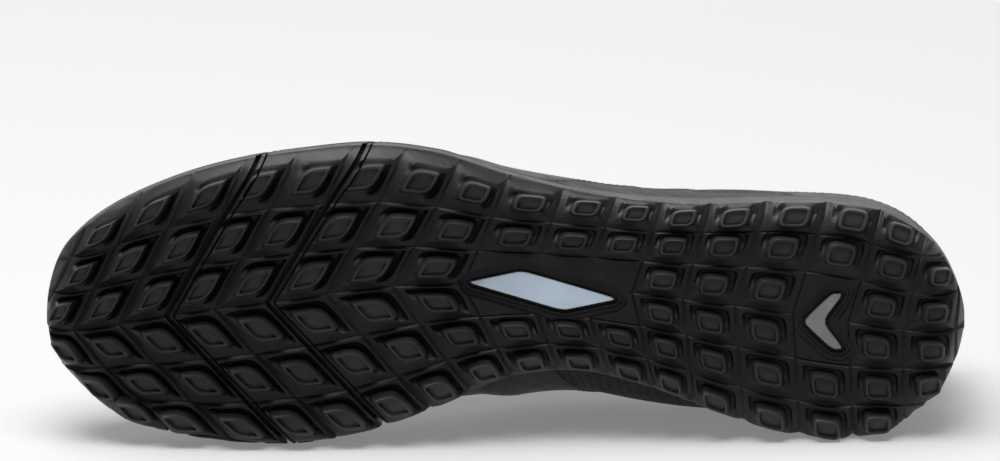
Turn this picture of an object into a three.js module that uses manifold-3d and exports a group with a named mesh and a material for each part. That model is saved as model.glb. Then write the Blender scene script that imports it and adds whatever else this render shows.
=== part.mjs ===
// A left turf shoe, lying on its inner side with the tread facing -Y, the toe at -X and the outer side up.
// It is modelled upright first, in the shoe's own frame: x runs from the toe tip to the heel back, y points
// to the inner side of the foot, and z goes up from the ground under the studs. At the end the whole group
// is laid down on the three points that carry it. All lengths are in millimetres.
import * as THREE from "three";
import { mergeVertices } from "three/addons/utils/BufferGeometryUtils.js";
import Module from "manifold-3d";

const wasm = await Module();
wasm.setup();

// Driving dimensions
const LENGTH = 282; // outsole, toe tip to heel back
const BALL_WIDTH = 91.3; // outsole, across the ball of the foot
const INSTEP_HEIGHT = 84; // ground to the top of the lacing
const HEEL_HEIGHT = 82; // ground to the top of the collar at the back
const TOE_SPRING = 13; // rise of the tread at the toe tip
const HEEL_THICKNESS = 13; // tread to footbed under the heel
const LIP_HEIGHT = 8; // footbed to the top of the cup sole's lip
const LIP_THICKNESS = 2.2; // wall of the lip
const LIP_LEAN = 1; // the lip's top stands in from the sole's widest line by this
const OUTER_SHOULDER_WIDTH = 18; // rounded edge of the tread, in plan, on the outer side
const INNER_SHOULDER_WIDTH = 10;
const SHOULDER_RISE = 8; // rounded edge of the tread, in height
const STUD_HEIGHT = 4.5; // tread to ground
const UPPER_WALL = 2; // shell of the upper with its lining
const COLLAR_PADDING = 2.5; // more wall at the top of the collar
const INSOLE_THICKNESS = 3;
const INSOLE_MARGIN = 0.6; // insole to the inside of the upper
const TONGUE_THICKNESS = 3;
const TONGUE_TAB = 24; // the tongue stands above the lacing by this
const LACE_WIDTH = 5.5;
const LACE_THICKNESS = 1.3;
const EYELET_DIAMETER = 4;
const EYELET_PAIRS = 5;
const FLEX_GROOVE_WIDTH = 2;
const FLEX_GROOVE_DEPTH = 2.6;
const POCKET_DEPTH = 1.8; // recess of each inlay in the tread
const INLAY_THICKNESS = 1.2;
const INLAY_MARGIN = 1.2; // inlay to the wall of its recess
const CLEARANCE = 0.3; // glued faces that meet

// The sole's widest line. Each row is a section, at a share of the length, with the reach to the outer and
// the inner side as shares of the ball width.
const OUTLINE = [
  { at: 0, outer: -0.046, inner: 0.046 },
  { at: 0.0125, outer: 0.139, inner: 0.196 },
  { at: 0.0355, outer: 0.237, inner: 0.276 },
  { at: 0.0745, outer: 0.332, inner: 0.375 },
  { at: 0.145, outer: 0.437, inner: 0.441 },
  { at: 0.216, outer: 0.501, inner: 0.467 },
  { at: 0.287, outer: 0.534, inner: 0.465 },
  { at: 0.358, outer: 0.549, inner: 0.414 },
  { at: 0.429, outer: 0.52, inner: 0.336 },
  { at: 0.5, outer: 0.448, inner: 0.247 },
  { at: 0.571, outer: 0.389, inner: 0.23 },
  { at: 0.642, outer: 0.355, inner: 0.273 },
  { at: 0.713, outer: 0.34, inner: 0.35 },
  { at: 0.784, outer: 0.345, inner: 0.425 },
  { at: 0.855, outer: 0.34, inner: 0.458 },
  { at: 0.908, outer: 0.314, inner: 0.441 },
  { at: 0.95, outer: 0.242, inner: 0.371 },
  { at: 0.982, outer: 0.124, inner: 0.252 },
  { at: 1, outer: -0.062, inner: 0.062 },
];

// The sole from the side: rise of the tread in shares of the toe spring, its thickness in shares of the
// heel thickness, and the lip in shares of the lip height. The rise is nothing under the ball and the heel,
// where the studs stand on the ground.
const SIDE_PROFILE = [
  { at: 0, rise: 1, thickness: 0.5, lip: 1.15 },
  { at: 0.05, rise: 0.7, thickness: 0.5, lip: 1.1 },
  { at: 0.1, rise: 0.45, thickness: 0.5, lip: 1.05 },
  { at: 0.16, rise: 0.22, thickness: 0.52, lip: 1 },
  { at: 0.23, rise: 0.05, thickness: 0.55, lip: 1 },
  { at: 0.28, rise: 0, thickness: 0.58, lip: 1 },
  { at: 0.44, rise: 0, thickness: 0.68, lip: 1 },
  { at: 0.57, rise: 0.13, thickness: 0.8, lip: 0.8 },
  { at: 0.7, rise: 0, thickness: 1, lip: 0.85 },
  { at: 0.92, rise: 0, thickness: 1, lip: 1.05 },
  { at: 1, rise: 0.18, thickness: 1, lip: 1.15 },
];

// The upper's profiles. Each row gives a share of the way round one side of the sole, from the toe to the
// heel; where the profile ends at the top, as a share of the length; the middle line and the half gap of
// the opening, as shares of the ball width; the height of the top, as a share of the instep height and one
// of the heel height; the sweep of the profile's arc in degrees; and how far the outer and the inner side
// belly out, as shares of the ball width. The gap is nothing as far as the throat.
const SECTIONS = named(
  ["side", "top", "middle", "gap", "instep", "heel", "arc", "outer", "inner"],
  [
    [0, 0.125, 0.036, 0, 0.55, 0, 88, 0, 0],
    [0.08, 0.14, 0.034, 0, 0.567, 0, 88, 0, 0],
    [0.16, 0.18, 0.029, 0, 0.605, 0, 88, 0.005, 0.005],
    [0.24, 0.245, 0.021, 0, 0.665, 0, 88, 0.01, 0.01],
    [0.33, 0.33, 0.01, 0, 0.75, 0, 86, 0.015, 0.021],
    [0.42, 0.425, 0, 0.101, 0.845, 0, 74, 0.015, 0.093],
    [0.5, 0.51, -0.01, 0.129, 0.925, 0, 68, 0.018, 0.2],
    [0.575, 0.59, 0, 0.154, 1, 0, 58, 0.02, 0.195],
    [0.64, 0.66, 0.022, 0.262, 0.45, 0.42, 44, 0.014, 0.16],
    [0.72, 0.745, 0.038, 0.308, 0.1, 0.68, 34, 0.004, 0.09],
    [0.81, 0.845, 0.046, 0.292, 0, 0.83, 30, -0.002, 0.015],
    [0.9, 0.925, 0.043, 0.221, 0, 0.93, 30, 0, 0.01],
    [0.95, 0.953, 0.047, 0.129, 0, 0.98, 32, 0.012, 0.015],
    [1, 0.963, 0.051, 0, 0, 1, 34, 0.03, 0.03],
  ],
);
const BELLY_SKEW = 0.85; // below 1, the belly is widest under the middle of the profile

// Places on the upper: "side" is a share of the way round, "height" a share of the profile
const THROAT_SIDE = 0.33;
const LACING_TOP_SIDE = 0.575;
const FIRST_EYELET_SIDE = 0.37;
const LAST_EYELET_SIDE = 0.545;
const EYELET_HEIGHT = 0.9;
const EDGE_HEIGHT = 0.985; // just below the edge of the opening
const COLLAR = { fullSide: 0.7, low: 0.55, high: 0.9 }; // where the padding reaches its full thickness

// The tongue and the lace
const TONGUE_HEIGHTS = [0.82, EYELET_HEIGHT, EDGE_HEIGHT]; // down from the gap on both sides
const TONGUE_SIDES = [0.29, 0.33, 0.37, 0.42, 0.47, 0.52, LACING_TOP_SIDE - 0.015];
const TONGUE_GAP = 1.4; // tongue to the inside of the upper
const TONGUE_SINK = 2; // the tongue lies this much deeper at the top of the lacing
const SINK_SIDE = 0.5; // where it starts to sink
const CROWN = 0.16; // rise of the tongue and the lace over the gap, as a share of the gap
const LACE_GAP = 0.7; // underside of the lace to the upper

// The tab above the lacing carries the tongue's last section on, up and back, and draws its sides in.
const TAB_STEPS = [
  { rise: 0.1, lean: 30, narrow: 0.62, side: 0.7 },
  { rise: 0.5, lean: 50, narrow: 0.8, side: 0.3 },
  { rise: 0.85, lean: 58, narrow: 0.88, side: 0.2 },
  { rise: 1, lean: 61, narrow: 0.8, side: 0.2 },
];
const TAB_SPREAD = 0.2; // the tab's underside stands off by this share more of the tongue's thickness

// The tread's studs stand in six rows and in columns that are bent like arrowheads. Each row of the table
// is a column, with the place of its point and the sweep of its outer and inner arm as shares of the
// length, and the middle line and the pitch of the rows on both sides of it as shares of the ball width.
const STUD_ROWS = 6;
const TREAD = named(
  ["column", "point", "outer", "inner", "middle", "outerPitch", "innerPitch"],
  [
    [-3.6, -0.016, 0.05, 0.075, 0.095, 0.124, 0.124],
    [-3, 0.008, 0.054, 0.08, 0.093, 0.132, 0.129],
    [-2, 0.051, 0.066, 0.096, 0.077, 0.16, 0.121],
    [-1, 0.106, 0.071, 0.106, 0.039, 0.169, 0.142],
    [0, 0.155, 0.076, 0.112, 0.012, 0.173, 0.149],
    [1, 0.211, 0.079, 0.112, -0.014, 0.17, 0.152],
    [2, 0.271, 0.076, 0.105, -0.037, 0.165, 0.144],
    [3, 0.34, 0.068, 0.086, -0.068, 0.146, 0.136],
    [4, 0.415, 0.051, 0.06, -0.083, 0.124, 0.117],
    [5, 0.489, 0.036, 0.037, -0.083, 0.107, 0.106],
    [6, 0.552, 0.036, 0.028, -0.072, 0.102, 0.101],
    [7, 0.609, 0.033, 0.026, -0.057, 0.104, 0.109],
    [8, 0.666, 0.027, 0.014, -0.039, 0.112, 0.118],
    [9, 0.72, 0.029, 0.008, -0.014, 0.127, 0.132],
    [10, 0.78, 0.035, 0.008, 0.011, 0.14, 0.146],
    [11, 0.843, 0.036, 0.006, 0.043, 0.146, 0.152],
    [12, 0.902, 0.031, 0.004, 0.07, 0.132, 0.142],
    [13, 0.962, 0.02, 0, 0.093, 0.124, 0.129],
    [13.6, 0.993, 0.01, 0, 0.093, 0.124, 0.124],
  ],
);
const FIRST_COLUMN = -3;
const LAST_COLUMN = 13;
const FLEX_COLUMNS = [-0.5, 1.5];
const FLEX_SWEEP = 1.4; // a groove's outer end runs back past its column line by this
const FLEX_OVERRUN = -0.3; // row on which a groove starts, out past the sole
const STUD_FOOT = 0.36; // half size of a stud's foot, in pitches
const STUD_FACE = 0.24; // half size of its face
const STUD_CORNER = 0.35; // share of a stud's side that its cut corner takes
const STUD_ROOT = 3; // the stud's root runs into the sole by this
const STUD_INSET = 4.2; // least distance from a stud's middle to the sole's widest line
const STUD_OVERHANG = 0.6; // a place outside that line by more than this share of the inset has no stud

// The two inlays in the tread, in shares of the length and the ball width.
// The lozenge leans by its skew, and the arrowhead's nose and ends are shares of its half width. No stud
// stands nearer to an inlay's middle than its clear distances.
const ARCH_INLAY = {
  at: 0.54,
  across: -0.054,
  length: 0.165,
  width: 0.118,
  turn: 7,
  skew: 0.3,
  clearAlong: 0.0825,
  clearAcross: 0.09,
};
const HEEL_INLAY = {
  at: 0.848,
  across: 0.056,
  reach: 0.095,
  sweep: 0.026,
  width: 0.056,
  nose: 0.35,
  end: 0.7,
  clearAlong: 0.03,
  clearAcross: 0.1,
};
const CORNER_POINTS = 3; // points on each rounded corner of the lozenge
const CORNER_ROUNDING = 0.14; // share of each edge that a corner takes

// Fineness of the meshes
const SIDE_COLUMNS = 30; // profiles along each side
const UPPER_ROWS = 9;
const OUTLINE_FINENESS = 90; // points along each side that insets are measured to
const SIDE_FINENESS = 400; // points along each side that places between the profiles are read from
const FLEX_STATIONS = 14;
const EYELET_CORNERS = 6;
const MERGE_DISTANCE = 1e-3;

// The sole's rings run from its widest line in to its spine, the part of its middle line between these
// shares of the length. A ring's place on that way is a share too.
const SPINE = { start: 0.14, end: 0.87 };
const TREAD_SHARES = [1, 0.7];
const SHOULDER_SHARES = [0.9, 0.45, 0.2, 0.05]; // of the shoulder's width
const BED_SHARES = [0, 0.4, 1];
const NEAREST_SHARE = 0.9; // no ring of an edge comes nearer to the next one than this

const INNER = 1;
const OUTER = -1;

function lerp(a, b, t) {
  return a + (b - a) * t;
}

// A table's rows with the names of its columns.
function named(names, rows) {
  return rows.map((row) => Object.fromEntries(row.map((value, i) => [names[i], value])));
}

// Reads a column of a table at a key, by a cubic that never overshoots its rows.
function read(table, key, column, value) {
  const last = table.length - 1;
  const x = THREE.MathUtils.clamp(value, table[0][key], table[last][key]);
  let i = 0;
  while (i < last - 1 && x > table[i + 1][key]) i += 1;
  const slope = (j) =>
    (table[j + 1][column] - table[j][column]) / (table[j + 1][key] - table[j][key]);
  const tangent = (j) => {
    if (j === 0) return slope(0);
    if (j === last) return slope(last - 1);
    const before = slope(j - 1);
    const after = slope(j);
    return before * after <= 0 ? 0 : (2 * before * after) / (before + after);
  };
  const span = table[i + 1][key] - table[i][key];
  const t = (x - table[i][key]) / span;
  const rise = t * t * (3 - 2 * t);
  const start = t * (1 - t) * (1 - t) * span;
  const end = t * t * (t - 1) * span;
  return (
    lerp(table[i][column], table[i + 1][column], rise) + start * tangent(i) + end * tangent(i + 1)
  );
}

// A closed curve through the outline's rows, as many points, from the toe tip round the outer side.
function outlineCurve() {
  const ends = OUTLINE.slice(1, -1);
  const place = (row, side) =>
    new THREE.Vector3(
      row.at * LENGTH,
      (side === INNER ? row.inner : -row.outer) * BALL_WIDTH,
      0,
    );
  const points = [
    place(OUTLINE[0], INNER),
    ...ends.map((row) => place(row, OUTER)),
    place(OUTLINE[OUTLINE.length - 1], INNER),
    ...ends.map((row) => place(row, INNER)).reverse(),
  ];
  return new THREE.CatmullRomCurve3(points, true, "centripetal");
}

// Points at equal distances along one side of the outline, from the toe tip to the heel back.
function sidePoints(curve, side, count) {
  const steps = 600;
  const way = Array.from({ length: steps + 1 }, (_, i) => {
    const half = (0.5 * i) / steps;
    return curve.getPoint(side === OUTER ? half : 1 - half);
  });
  const reach = [0];
  for (let i = 1; i <= steps; i += 1) reach.push(reach[i - 1] + way[i].distanceTo(way[i - 1]));
  return Array.from({ length: count + 1 }, (_, i) => {
    const goal = (reach[steps] * i) / count;
    let j = 1;
    while (j < steps && reach[j] < goal) j += 1;
    const t = (goal - reach[j - 1]) / (reach[j] - reach[j - 1]);
    return way[j - 1].clone().lerp(way[j], t);
  });
}

const curve = outlineCurve();
const fineOutline = [
  ...sidePoints(curve, OUTER, OUTLINE_FINENESS),
  ...sidePoints(curve, INNER, OUTLINE_FINENESS).reverse().slice(1, -1),
];

// How far a point in plan lies inside the sole's widest line, negative outside it.
function inset(x, y) {
  let nearest = Infinity;
  let inside = false;
  fineOutline.forEach((a, i) => {
    const b = fineOutline[(i + 1) % fineOutline.length];
    const dx = b.x - a.x;
    const dy = b.y - a.y;
    const t = THREE.MathUtils.clamp(((x - a.x) * dx + (y - a.y) * dy) / (dx * dx + dy * dy), 0, 1);
    nearest = Math.min(nearest, Math.hypot(x - a.x - t * dx, y - a.y - t * dy));
    if (a.y > y !== b.y > y && x < a.x + ((y - a.y) * dx) / dy) inside = !inside;
  });
  return inside ? nearest : -nearest;
}

// Heights of the sole at a place along its length
const treadRise = (x) => read(SIDE_PROFILE, "at", "rise", x / LENGTH) * TOE_SPRING;
const treadHeight = (x) => STUD_HEIGHT + treadRise(x);
const soleThickness = (x) =>
  read(SIDE_PROFILE, "at", "thickness", x / LENGTH) * HEEL_THICKNESS;
const bedHeight = (x) => treadHeight(x) + soleThickness(x);
const lipHeight = (x) =>
  bedHeight(x) + read(SIDE_PROFILE, "at", "lip", x / LENGTH) * LIP_HEIGHT;

// The width of the tread's rounded edge, which is wider on the outer side.
function shoulderWidth(y) {
  const change = BALL_WIDTH / 4;
  const t = THREE.MathUtils.smoothstep(y, -change, change);
  return lerp(OUTER_SHOULDER_WIDTH, INNER_SHOULDER_WIDTH, t);
}

// The underside of the sole between its studs, with its rounded edge.
function treadSurface(x, y) {
  const t = 1 - THREE.MathUtils.clamp(inset(x, y) / shoulderWidth(y), 0, 1);
  return new THREE.Vector3(x, y, treadHeight(x) + SHOULDER_RISE * (1 - Math.sqrt(1 - t * t)));
}

// The direction out of the tread, by differences.
function treadNormal(x, y) {
  const step = 1.5;
  const along = treadSurface(x + step, y).sub(treadSurface(x - step, y));
  const across = treadSurface(x, y + step).sub(treadSurface(x, y - step));
  return across.cross(along).normalize();
}

// Makes a closed mesh from rings of equally many points. Rings that shrink to a line or a point are closed
// by that, and otherwise the first and the last ring get a flat cap.
function loft(rings, capped = false) {
  const size = rings[0].length;
  const triangles = [];
  for (let j = 0; j + 1 < rings.length; j += 1) {
    for (let i = 0; i < size; i += 1) {
      const n = (i + 1) % size;
      const a = rings[j][i];
      const b = rings[j][n];
      const c = rings[j + 1][n];
      const d = rings[j + 1][i];
      triangles.push([a, b, c], [a, c, d]);
    }
  }
  if (capped) {
    const first = rings[0];
    const end = rings[rings.length - 1];
    for (let i = 1; i + 1 < size; i += 1) {
      triangles.push([first[0], first[i + 1], first[i]], [end[0], end[i], end[i + 1]]);
    }
  }
  return fromTriangles(triangles);
}

// A geometry with merged vertices from a list of triangles, without those that have no area.
function fromTriangles(triangles) {
  const loose = new THREE.BufferGeometry().setAttribute(
    "position",
    new THREE.Float32BufferAttribute(triangles.flatMap((t) => t.flatMap((p) => p.toArray())), 3),
  );
  const merged = mergeVertices(loose, MERGE_DISTANCE);
  const index = merged.index.array;
  const kept = [];
  for (let i = 0; i < index.length; i += 3) {
    const [a, b, c] = [index[i], index[i + 1], index[i + 2]];
    if (a !== b && b !== c && c !== a) kept.push(a, b, c);
  }
  merged.setIndex(kept);
  return merged;
}

function toSolid(geometry) {
  return new wasm.Manifold(
    new wasm.Mesh({
      numProp: 3,
      vertProperties: new Float32Array(geometry.getAttribute("position").array),
      triVerts: new Uint32Array(geometry.index.array),
    }),
  );
}

function toGeometry(solid) {
  const { vertProperties, triVerts } = solid.getMesh();
  const geometry = new THREE.BufferGeometry();
  geometry.setAttribute("position", new THREE.BufferAttribute(vertProperties, 3));
  geometry.setIndex(new THREE.BufferAttribute(triVerts, 1));
  return geometry;
}

// The sole's middle line, halfway between its two edges
const MIDDLE_LINE = OUTLINE.map((row) => ({ at: row.at, middle: (row.inner - row.outer) / 2 }));

function spinePoint(along) {
  const x = THREE.MathUtils.clamp(along, SPINE.start * LENGTH, SPINE.end * LENGTH);
  return new THREE.Vector3(x, read(MIDDLE_LINE, "at", "middle", x / LENGTH) * BALL_WIDTH, 0);
}

// A column of the sole and upper: its point on the widest line, the direction outwards and the point of the
// sole's spine that it belongs to.
function makeColumns() {
  const outer = sidePoints(curve, OUTER, SIDE_COLUMNS);
  const inner = sidePoints(curve, INNER, SIDE_COLUMNS);
  const columns = [
    ...outer.map((point, i) => ({ point, side: OUTER, share: i / SIDE_COLUMNS })),
    ...inner
      .slice(1, -1)
      .map((point, i) => ({ point, side: INNER, share: (i + 1) / SIDE_COLUMNS }))
      .reverse(),
  ];
  columns.forEach((column, i) => {
    const before = columns[(i + columns.length - 1) % columns.length].point;
    const after = columns[(i + 1) % columns.length].point;
    const opposite = columns[(columns.length - i) % columns.length].point;
    const way = after.clone().sub(before);
    column.out = new THREE.Vector3(way.y, -way.x, 0).normalize();
    column.spine = spinePoint((column.point.x + opposite.x) / 2);
  });
  return columns;
}

const columns = makeColumns();

// A point of a column, moved out by a distance, at a height.
function moved(column, out, height) {
  const p = column.point.clone().addScaledVector(column.out, out);
  p.z = height;
  return p;
}

// A ring of the sole at a share of the way from the widest line to the spine.
function inwardRing(share, heightAt, start = 0) {
  return columns.map((column) => {
    const p = moved(column, -start, 0).lerp(column.spine, share);
    p.z = heightAt(p.x, p.y);
    return p;
  });
}

// A ring of the tread's rounded edge, at a share of its width.
function shoulderRing(part) {
  return columns.map((column) => {
    const distance = part * shoulderWidth(column.point.y);
    const share = Math.min(distance / column.point.distanceTo(column.spine), NEAREST_SHARE);
    const p = column.point.clone().lerp(column.spine, share);
    return treadSurface(p.x, p.y);
  });
}

// The cup sole without its studs, from the middle of the tread round the lip to the middle of the footbed.
function soleBody() {
  const tread = (x, y) => treadSurface(x, y).z;
  const wall = [
    columns.map((c) => moved(c, 0, treadHeight(c.point.x) + SHOULDER_RISE)),
    columns.map((c) => moved(c, -LIP_LEAN, lipHeight(c.point.x))),
    columns.map((c) => moved(c, -LIP_LEAN - LIP_THICKNESS, lipHeight(c.point.x))),
  ];
  return loft([
    ...TREAD_SHARES.map((share) => inwardRing(share, tread)),
    ...SHOULDER_SHARES.map(shoulderRing),
    ...wall,
    ...bedRings(),
  ]);
}

// The footbed's rings from inside the lip to the spine
function bedRings() {
  return BED_SHARES.map((share) => inwardRing(share, bedHeight, LIP_LEAN + LIP_THICKNESS));
}

// A place on the tread by column and row, both as any number, in plan.
function treadPlace(column, row) {
  const from = row - (STUD_ROWS + 1) / 2;
  const value = (name) => read(TREAD, "column", name, column);
  const side = from < 0 ? "outer" : "inner";
  const reach = (STUD_ROWS - 1) / 2;
  return {
    x: (value("point") + (value(side) * Math.abs(from)) / reach) * LENGTH,
    y: (value("middle") + from * value(`${side}Pitch`)) * BALL_WIDTH,
  };
}

// Brings a place in plan in from the widest line by small steps, where it lies nearer than a distance.
function keptInside(place, distance) {
  const step = 0.4;
  const mostSteps = 40;
  const p = { ...place };
  for (let i = 0; i < mostSteps && inset(p.x, p.y) < distance; i += 1) {
    const spine = spinePoint(p.x);
    const gap = Math.hypot(spine.x - p.x, spine.y - p.y);
    p.x += (step * (spine.x - p.x)) / gap;
    p.y += (step * (spine.y - p.y)) / gap;
  }
  return p;
}

function isAtAnInlay(p) {
  return [ARCH_INLAY, HEEL_INLAY].some(
    ({ at, across, clearAlong, clearAcross }) =>
      Math.abs(p.x - at * LENGTH) < clearAlong * LENGTH &&
      Math.abs(p.y - across * BALL_WIDTH) < clearAcross * BALL_WIDTH,
  );
}

// Every stud's column and row. The corners of the lattice that fall off the round toe and heel have none.
function studPlaces() {
  const places = [];
  for (let column = FIRST_COLUMN; column <= LAST_COLUMN; column += 1) {
    for (let row = 1; row <= STUD_ROWS; row += 1) {
      const p = treadPlace(column, row);
      const offTheEdge = inset(p.x, p.y) < -STUD_INSET * STUD_OVERHANG;
      if (!offTheEdge && !isAtAnInlay(p)) places.push({ column, row });
    }
  }
  return places;
}

// One stud: a tapered block with cut corners and a flat face at its full height above the tread.
function stud({ column, row }) {
  const wanted = treadPlace(column, row);
  const middle = keptInside(wanted, STUD_INSET);
  const shift = { x: middle.x - wanted.x, y: middle.y - wanted.y };
  const foot = treadSurface(middle.x, middle.y);
  const out = treadNormal(middle.x, middle.y);
  const cut = 1 - STUD_CORNER;
  const corners = [
    [-1, -1],
    [cut, -1],
    [1, -cut],
    [1, 1],
    [-cut, 1],
    [-1, cut],
  ];
  const ring = (half, height) =>
    corners.map(([c, r]) => {
      const p = treadPlace(column + c * half, row + r * half);
      const corner = new THREE.Vector3(p.x + shift.x, p.y + shift.y, foot.z).sub(foot);
      corner.addScaledVector(out, -corner.dot(out));
      return foot.clone().add(corner).addScaledVector(out, height);
    });
  return toSolid(loft([ring(STUD_FACE, STUD_HEIGHT), ring(STUD_FOOT, -STUD_ROOT)], true));
}

// A cutter for one flex groove, which follows a column line over the tread and up both sides of the sole.
function flexCutter(column) {
  const rows = Array.from({ length: FLEX_STATIONS }, (_, i) =>
    lerp(FLEX_OVERRUN, STUD_ROWS + 1 - FLEX_OVERRUN, i / (FLEX_STATIONS - 1)),
  );
  const rings = rows.map((row) => {
    const p = treadPlace(column, row);
    p.x += (FLEX_SWEEP * Math.max(0, (STUD_ROWS + 1) / 2 - row)) / ((STUD_ROWS - 1) / 2);
    const depth = inset(p.x, p.y);
    const half = FLEX_GROOVE_WIDTH / 2;
    const floor =
      depth > FLEX_GROOVE_DEPTH
        ? treadSurface(p.x, p.y).z + FLEX_GROOVE_DEPTH
        : lipHeight(p.x) + CLEARANCE;
    return [
      new THREE.Vector3(p.x - half, p.y, -SHOULDER_RISE),
      new THREE.Vector3(p.x + half, p.y, -SHOULDER_RISE),
      new THREE.Vector3(p.x + half, p.y, floor),
      new THREE.Vector3(p.x - half, p.y, floor),
    ];
  });
  return toSolid(loft(rings.reverse(), true));
}

// A closed plan grown by a margin on all sides, with its points given counter-clockwise.
function grown(plan, margin) {
  return plan.map((p, i) => {
    const before = plan[(i + plan.length - 1) % plan.length];
    const after = plan[(i + 1) % plan.length];
    const a = new THREE.Vector2(p.y - before.y, before.x - p.x).normalize();
    const b = new THREE.Vector2(after.y - p.y, p.x - after.x).normalize();
    const move = a.clone().add(b).multiplyScalar(margin / (1 + a.dot(b)));
    return { x: p.x + move.x, y: p.y + move.y };
  });
}

// The plan of the long lozenge inlay, with rounded corners.
function lozengePlan() {
  const half = (ARCH_INLAY.length * LENGTH) / 2;
  const wide = (ARCH_INLAY.width * BALL_WIDTH) / 2;
  const turn = THREE.MathUtils.degToRad(ARCH_INLAY.turn);
  const tips = [
    [-1, 0],
    [-ARCH_INLAY.skew, -1],
    [1, 0],
    [ARCH_INLAY.skew, 1],
  ];
  const plan = tips.flatMap((tip, i) => {
    const a = tip.map((v, n) => lerp(v, tips[(i + 3) % 4][n], CORNER_ROUNDING));
    const b = tip.map((v, n) => lerp(v, tips[(i + 1) % 4][n], CORNER_ROUNDING));
    return Array.from({ length: CORNER_POINTS }, (_, j) => {
      const t = j / (CORNER_POINTS - 1);
      return tip.map((v, n) => lerp(lerp(a[n], v, t), lerp(v, b[n], t), t));
    });
  });
  return plan.map(([x, y]) => ({
    x: ARCH_INLAY.at * LENGTH + x * half * Math.cos(turn) - y * wide * Math.sin(turn),
    y: ARCH_INLAY.across * BALL_WIDTH + x * half * Math.sin(turn) + y * wide * Math.cos(turn),
  }));
}

// The plan of the arrowhead inlay at the heel, which points to the toe.
function arrowheadPlan() {
  const reach = HEEL_INLAY.reach * BALL_WIDTH;
  const sweep = HEEL_INLAY.sweep * LENGTH;
  const half = (HEEL_INLAY.width * BALL_WIDTH) / 2;
  const nose = half * HEEL_INLAY.nose;
  const end = half * HEEL_INLAY.end;
  const local = [
    [-half, nose],
    [-half, -nose],
    [sweep - end, -reach],
    [sweep + end, -reach],
    [half, 0],
    [sweep + end, reach],
    [sweep - end, reach],
  ];
  return local.map(([x, y]) => ({
    x: HEEL_INLAY.at * LENGTH - sweep / 2 + x,
    y: HEEL_INLAY.across * BALL_WIDTH + y,
  }));
}

// An upright prism over a plan, between two heights.
function prism(plan, low, high) {
  const shape = new THREE.Shape(plan.map((p) => new THREE.Vector2(p.x, p.y)));
  const geometry = new THREE.ExtrudeGeometry(shape, { depth: high - low, bevelEnabled: false });
  geometry.deleteAttribute("normal");
  geometry.deleteAttribute("uv");
  geometry.translate(0, 0, low);
  return mergeVertices(geometry, MERGE_DISTANCE);
}

// The floor of an inlay's recess is flat, at its depth above the highest tread that it lies under.
const recessFloor = (plan) => Math.max(...plan.map((p) => treadHeight(p.x))) + POCKET_DEPTH;

function outsole() {
  let solid = toSolid(soleBody());
  studPlaces().forEach((place) => {
    solid = solid.add(stud(place));
  });
  FLEX_COLUMNS.forEach((column) => {
    solid = solid.subtract(flexCutter(column));
  });
  [lozengePlan, arrowheadPlan].forEach((plan) => {
    const recess = grown(plan(), INLAY_MARGIN);
    solid = solid.subtract(toSolid(prism(recess, -SHOULDER_RISE, recessFloor(plan()))));
  });
  return toGeometry(solid);
}

function inlay(plan) {
  const top = recessFloor(plan()) - CLEARANCE;
  return prism(plan(), top - INLAY_THICKNESS, top);
}

// The outside of the upper: a point on one side, at a share of the way round and a share of its height.
const UPPER_INSET = LIP_LEAN + LIP_THICKNESS + CLEARANCE;

function sectionValue(name, share) {
  return read(SECTIONS, "side", name, share);
}

function topPoint(share, side) {
  const gap = share <= THROAT_SIDE ? 0 : sectionValue("gap", share);
  return new THREE.Vector3(
    sectionValue("top", share) * LENGTH,
    (sectionValue("middle", share) + side * gap) * BALL_WIDTH,
    sectionValue("instep", share) * INSTEP_HEIGHT + sectionValue("heel", share) * HEEL_HEIGHT,
  );
}

// The upper stands up straight inside the lip, and arches over the foot from the lip's top.
function upperPoint(column, height) {
  const { share, side } = column;
  const foot = moved(column, -UPPER_INSET, lipHeight(column.point.x));
  const top = topPoint(share, side);
  const arc = THREE.MathUtils.degToRad(sectionValue("arc", share));
  const inwards = (1 - Math.cos(height * arc)) / (1 - Math.cos(arc));
  const upwards = Math.sin(height * arc) / Math.sin(arc);
  const belly = sectionValue(side === INNER ? "inner" : "outer", share) * BALL_WIDTH;
  const p = foot.clone().lerp(top, inwards);
  p.z = lerp(foot.z, top.z, upwards);
  return p.addScaledVector(column.out, belly * Math.sin(Math.PI * height ** BELLY_SKEW));
}

// The upper's grid: each vertex with its place in the list. The profiles in front of the throat end on the
// middle line, where the two sides share their last vertex.
const throatColumn = Math.round(THROAT_SIDE * SIDE_COLUMNS);
const ringSize = columns.length;

function mirrorColumn(i) {
  return (ringSize - i) % ringSize;
}

function upperGrid() {
  const vertices = [];
  const ids = columns.map(() => []);
  columns.forEach((column, i) => {
    for (let j = 0; j <= UPPER_ROWS; j += 1) {
      const joined = column.side === INNER && Math.round(column.share * SIDE_COLUMNS) <= throatColumn;
      if (j === UPPER_ROWS && joined) {
        ids[i].push(ids[mirrorColumn(i)][j]);
      } else {
        ids[i].push(vertices.length);
        vertices.push(
          j === 0
            ? moved(column, -UPPER_INSET, bedHeight(column.point.x) + CLEARANCE)
            : upperPoint(column, (j - 1) / (UPPER_ROWS - 1)),
        );
      }
    }
  });
  return { vertices, ids };
}

function gridTriangles({ ids }) {
  const triangles = [];
  for (let i = 0; i < ringSize; i += 1) {
    const next = (i + 1) % ringSize;
    for (let j = 0; j < UPPER_ROWS; j += 1) {
      const [a, b, c, d] = [ids[i][j], ids[next][j], ids[next][j + 1], ids[i][j + 1]];
      if (a !== b && b !== c) triangles.push([a, b, c]);
      if (c !== d && d !== a && c !== a) triangles.push([a, c, d]);
    }
  }
  return triangles;
}

function gridNormals(grid) {
  const geometry = new THREE.BufferGeometry().setFromPoints(grid.vertices);
  geometry.setIndex(gridTriangles(grid).flat());
  geometry.computeVertexNormals();
  const normals = geometry.getAttribute("normal");
  return grid.vertices.map((_, i) => new THREE.Vector3().fromBufferAttribute(normals, i));
}

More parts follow.
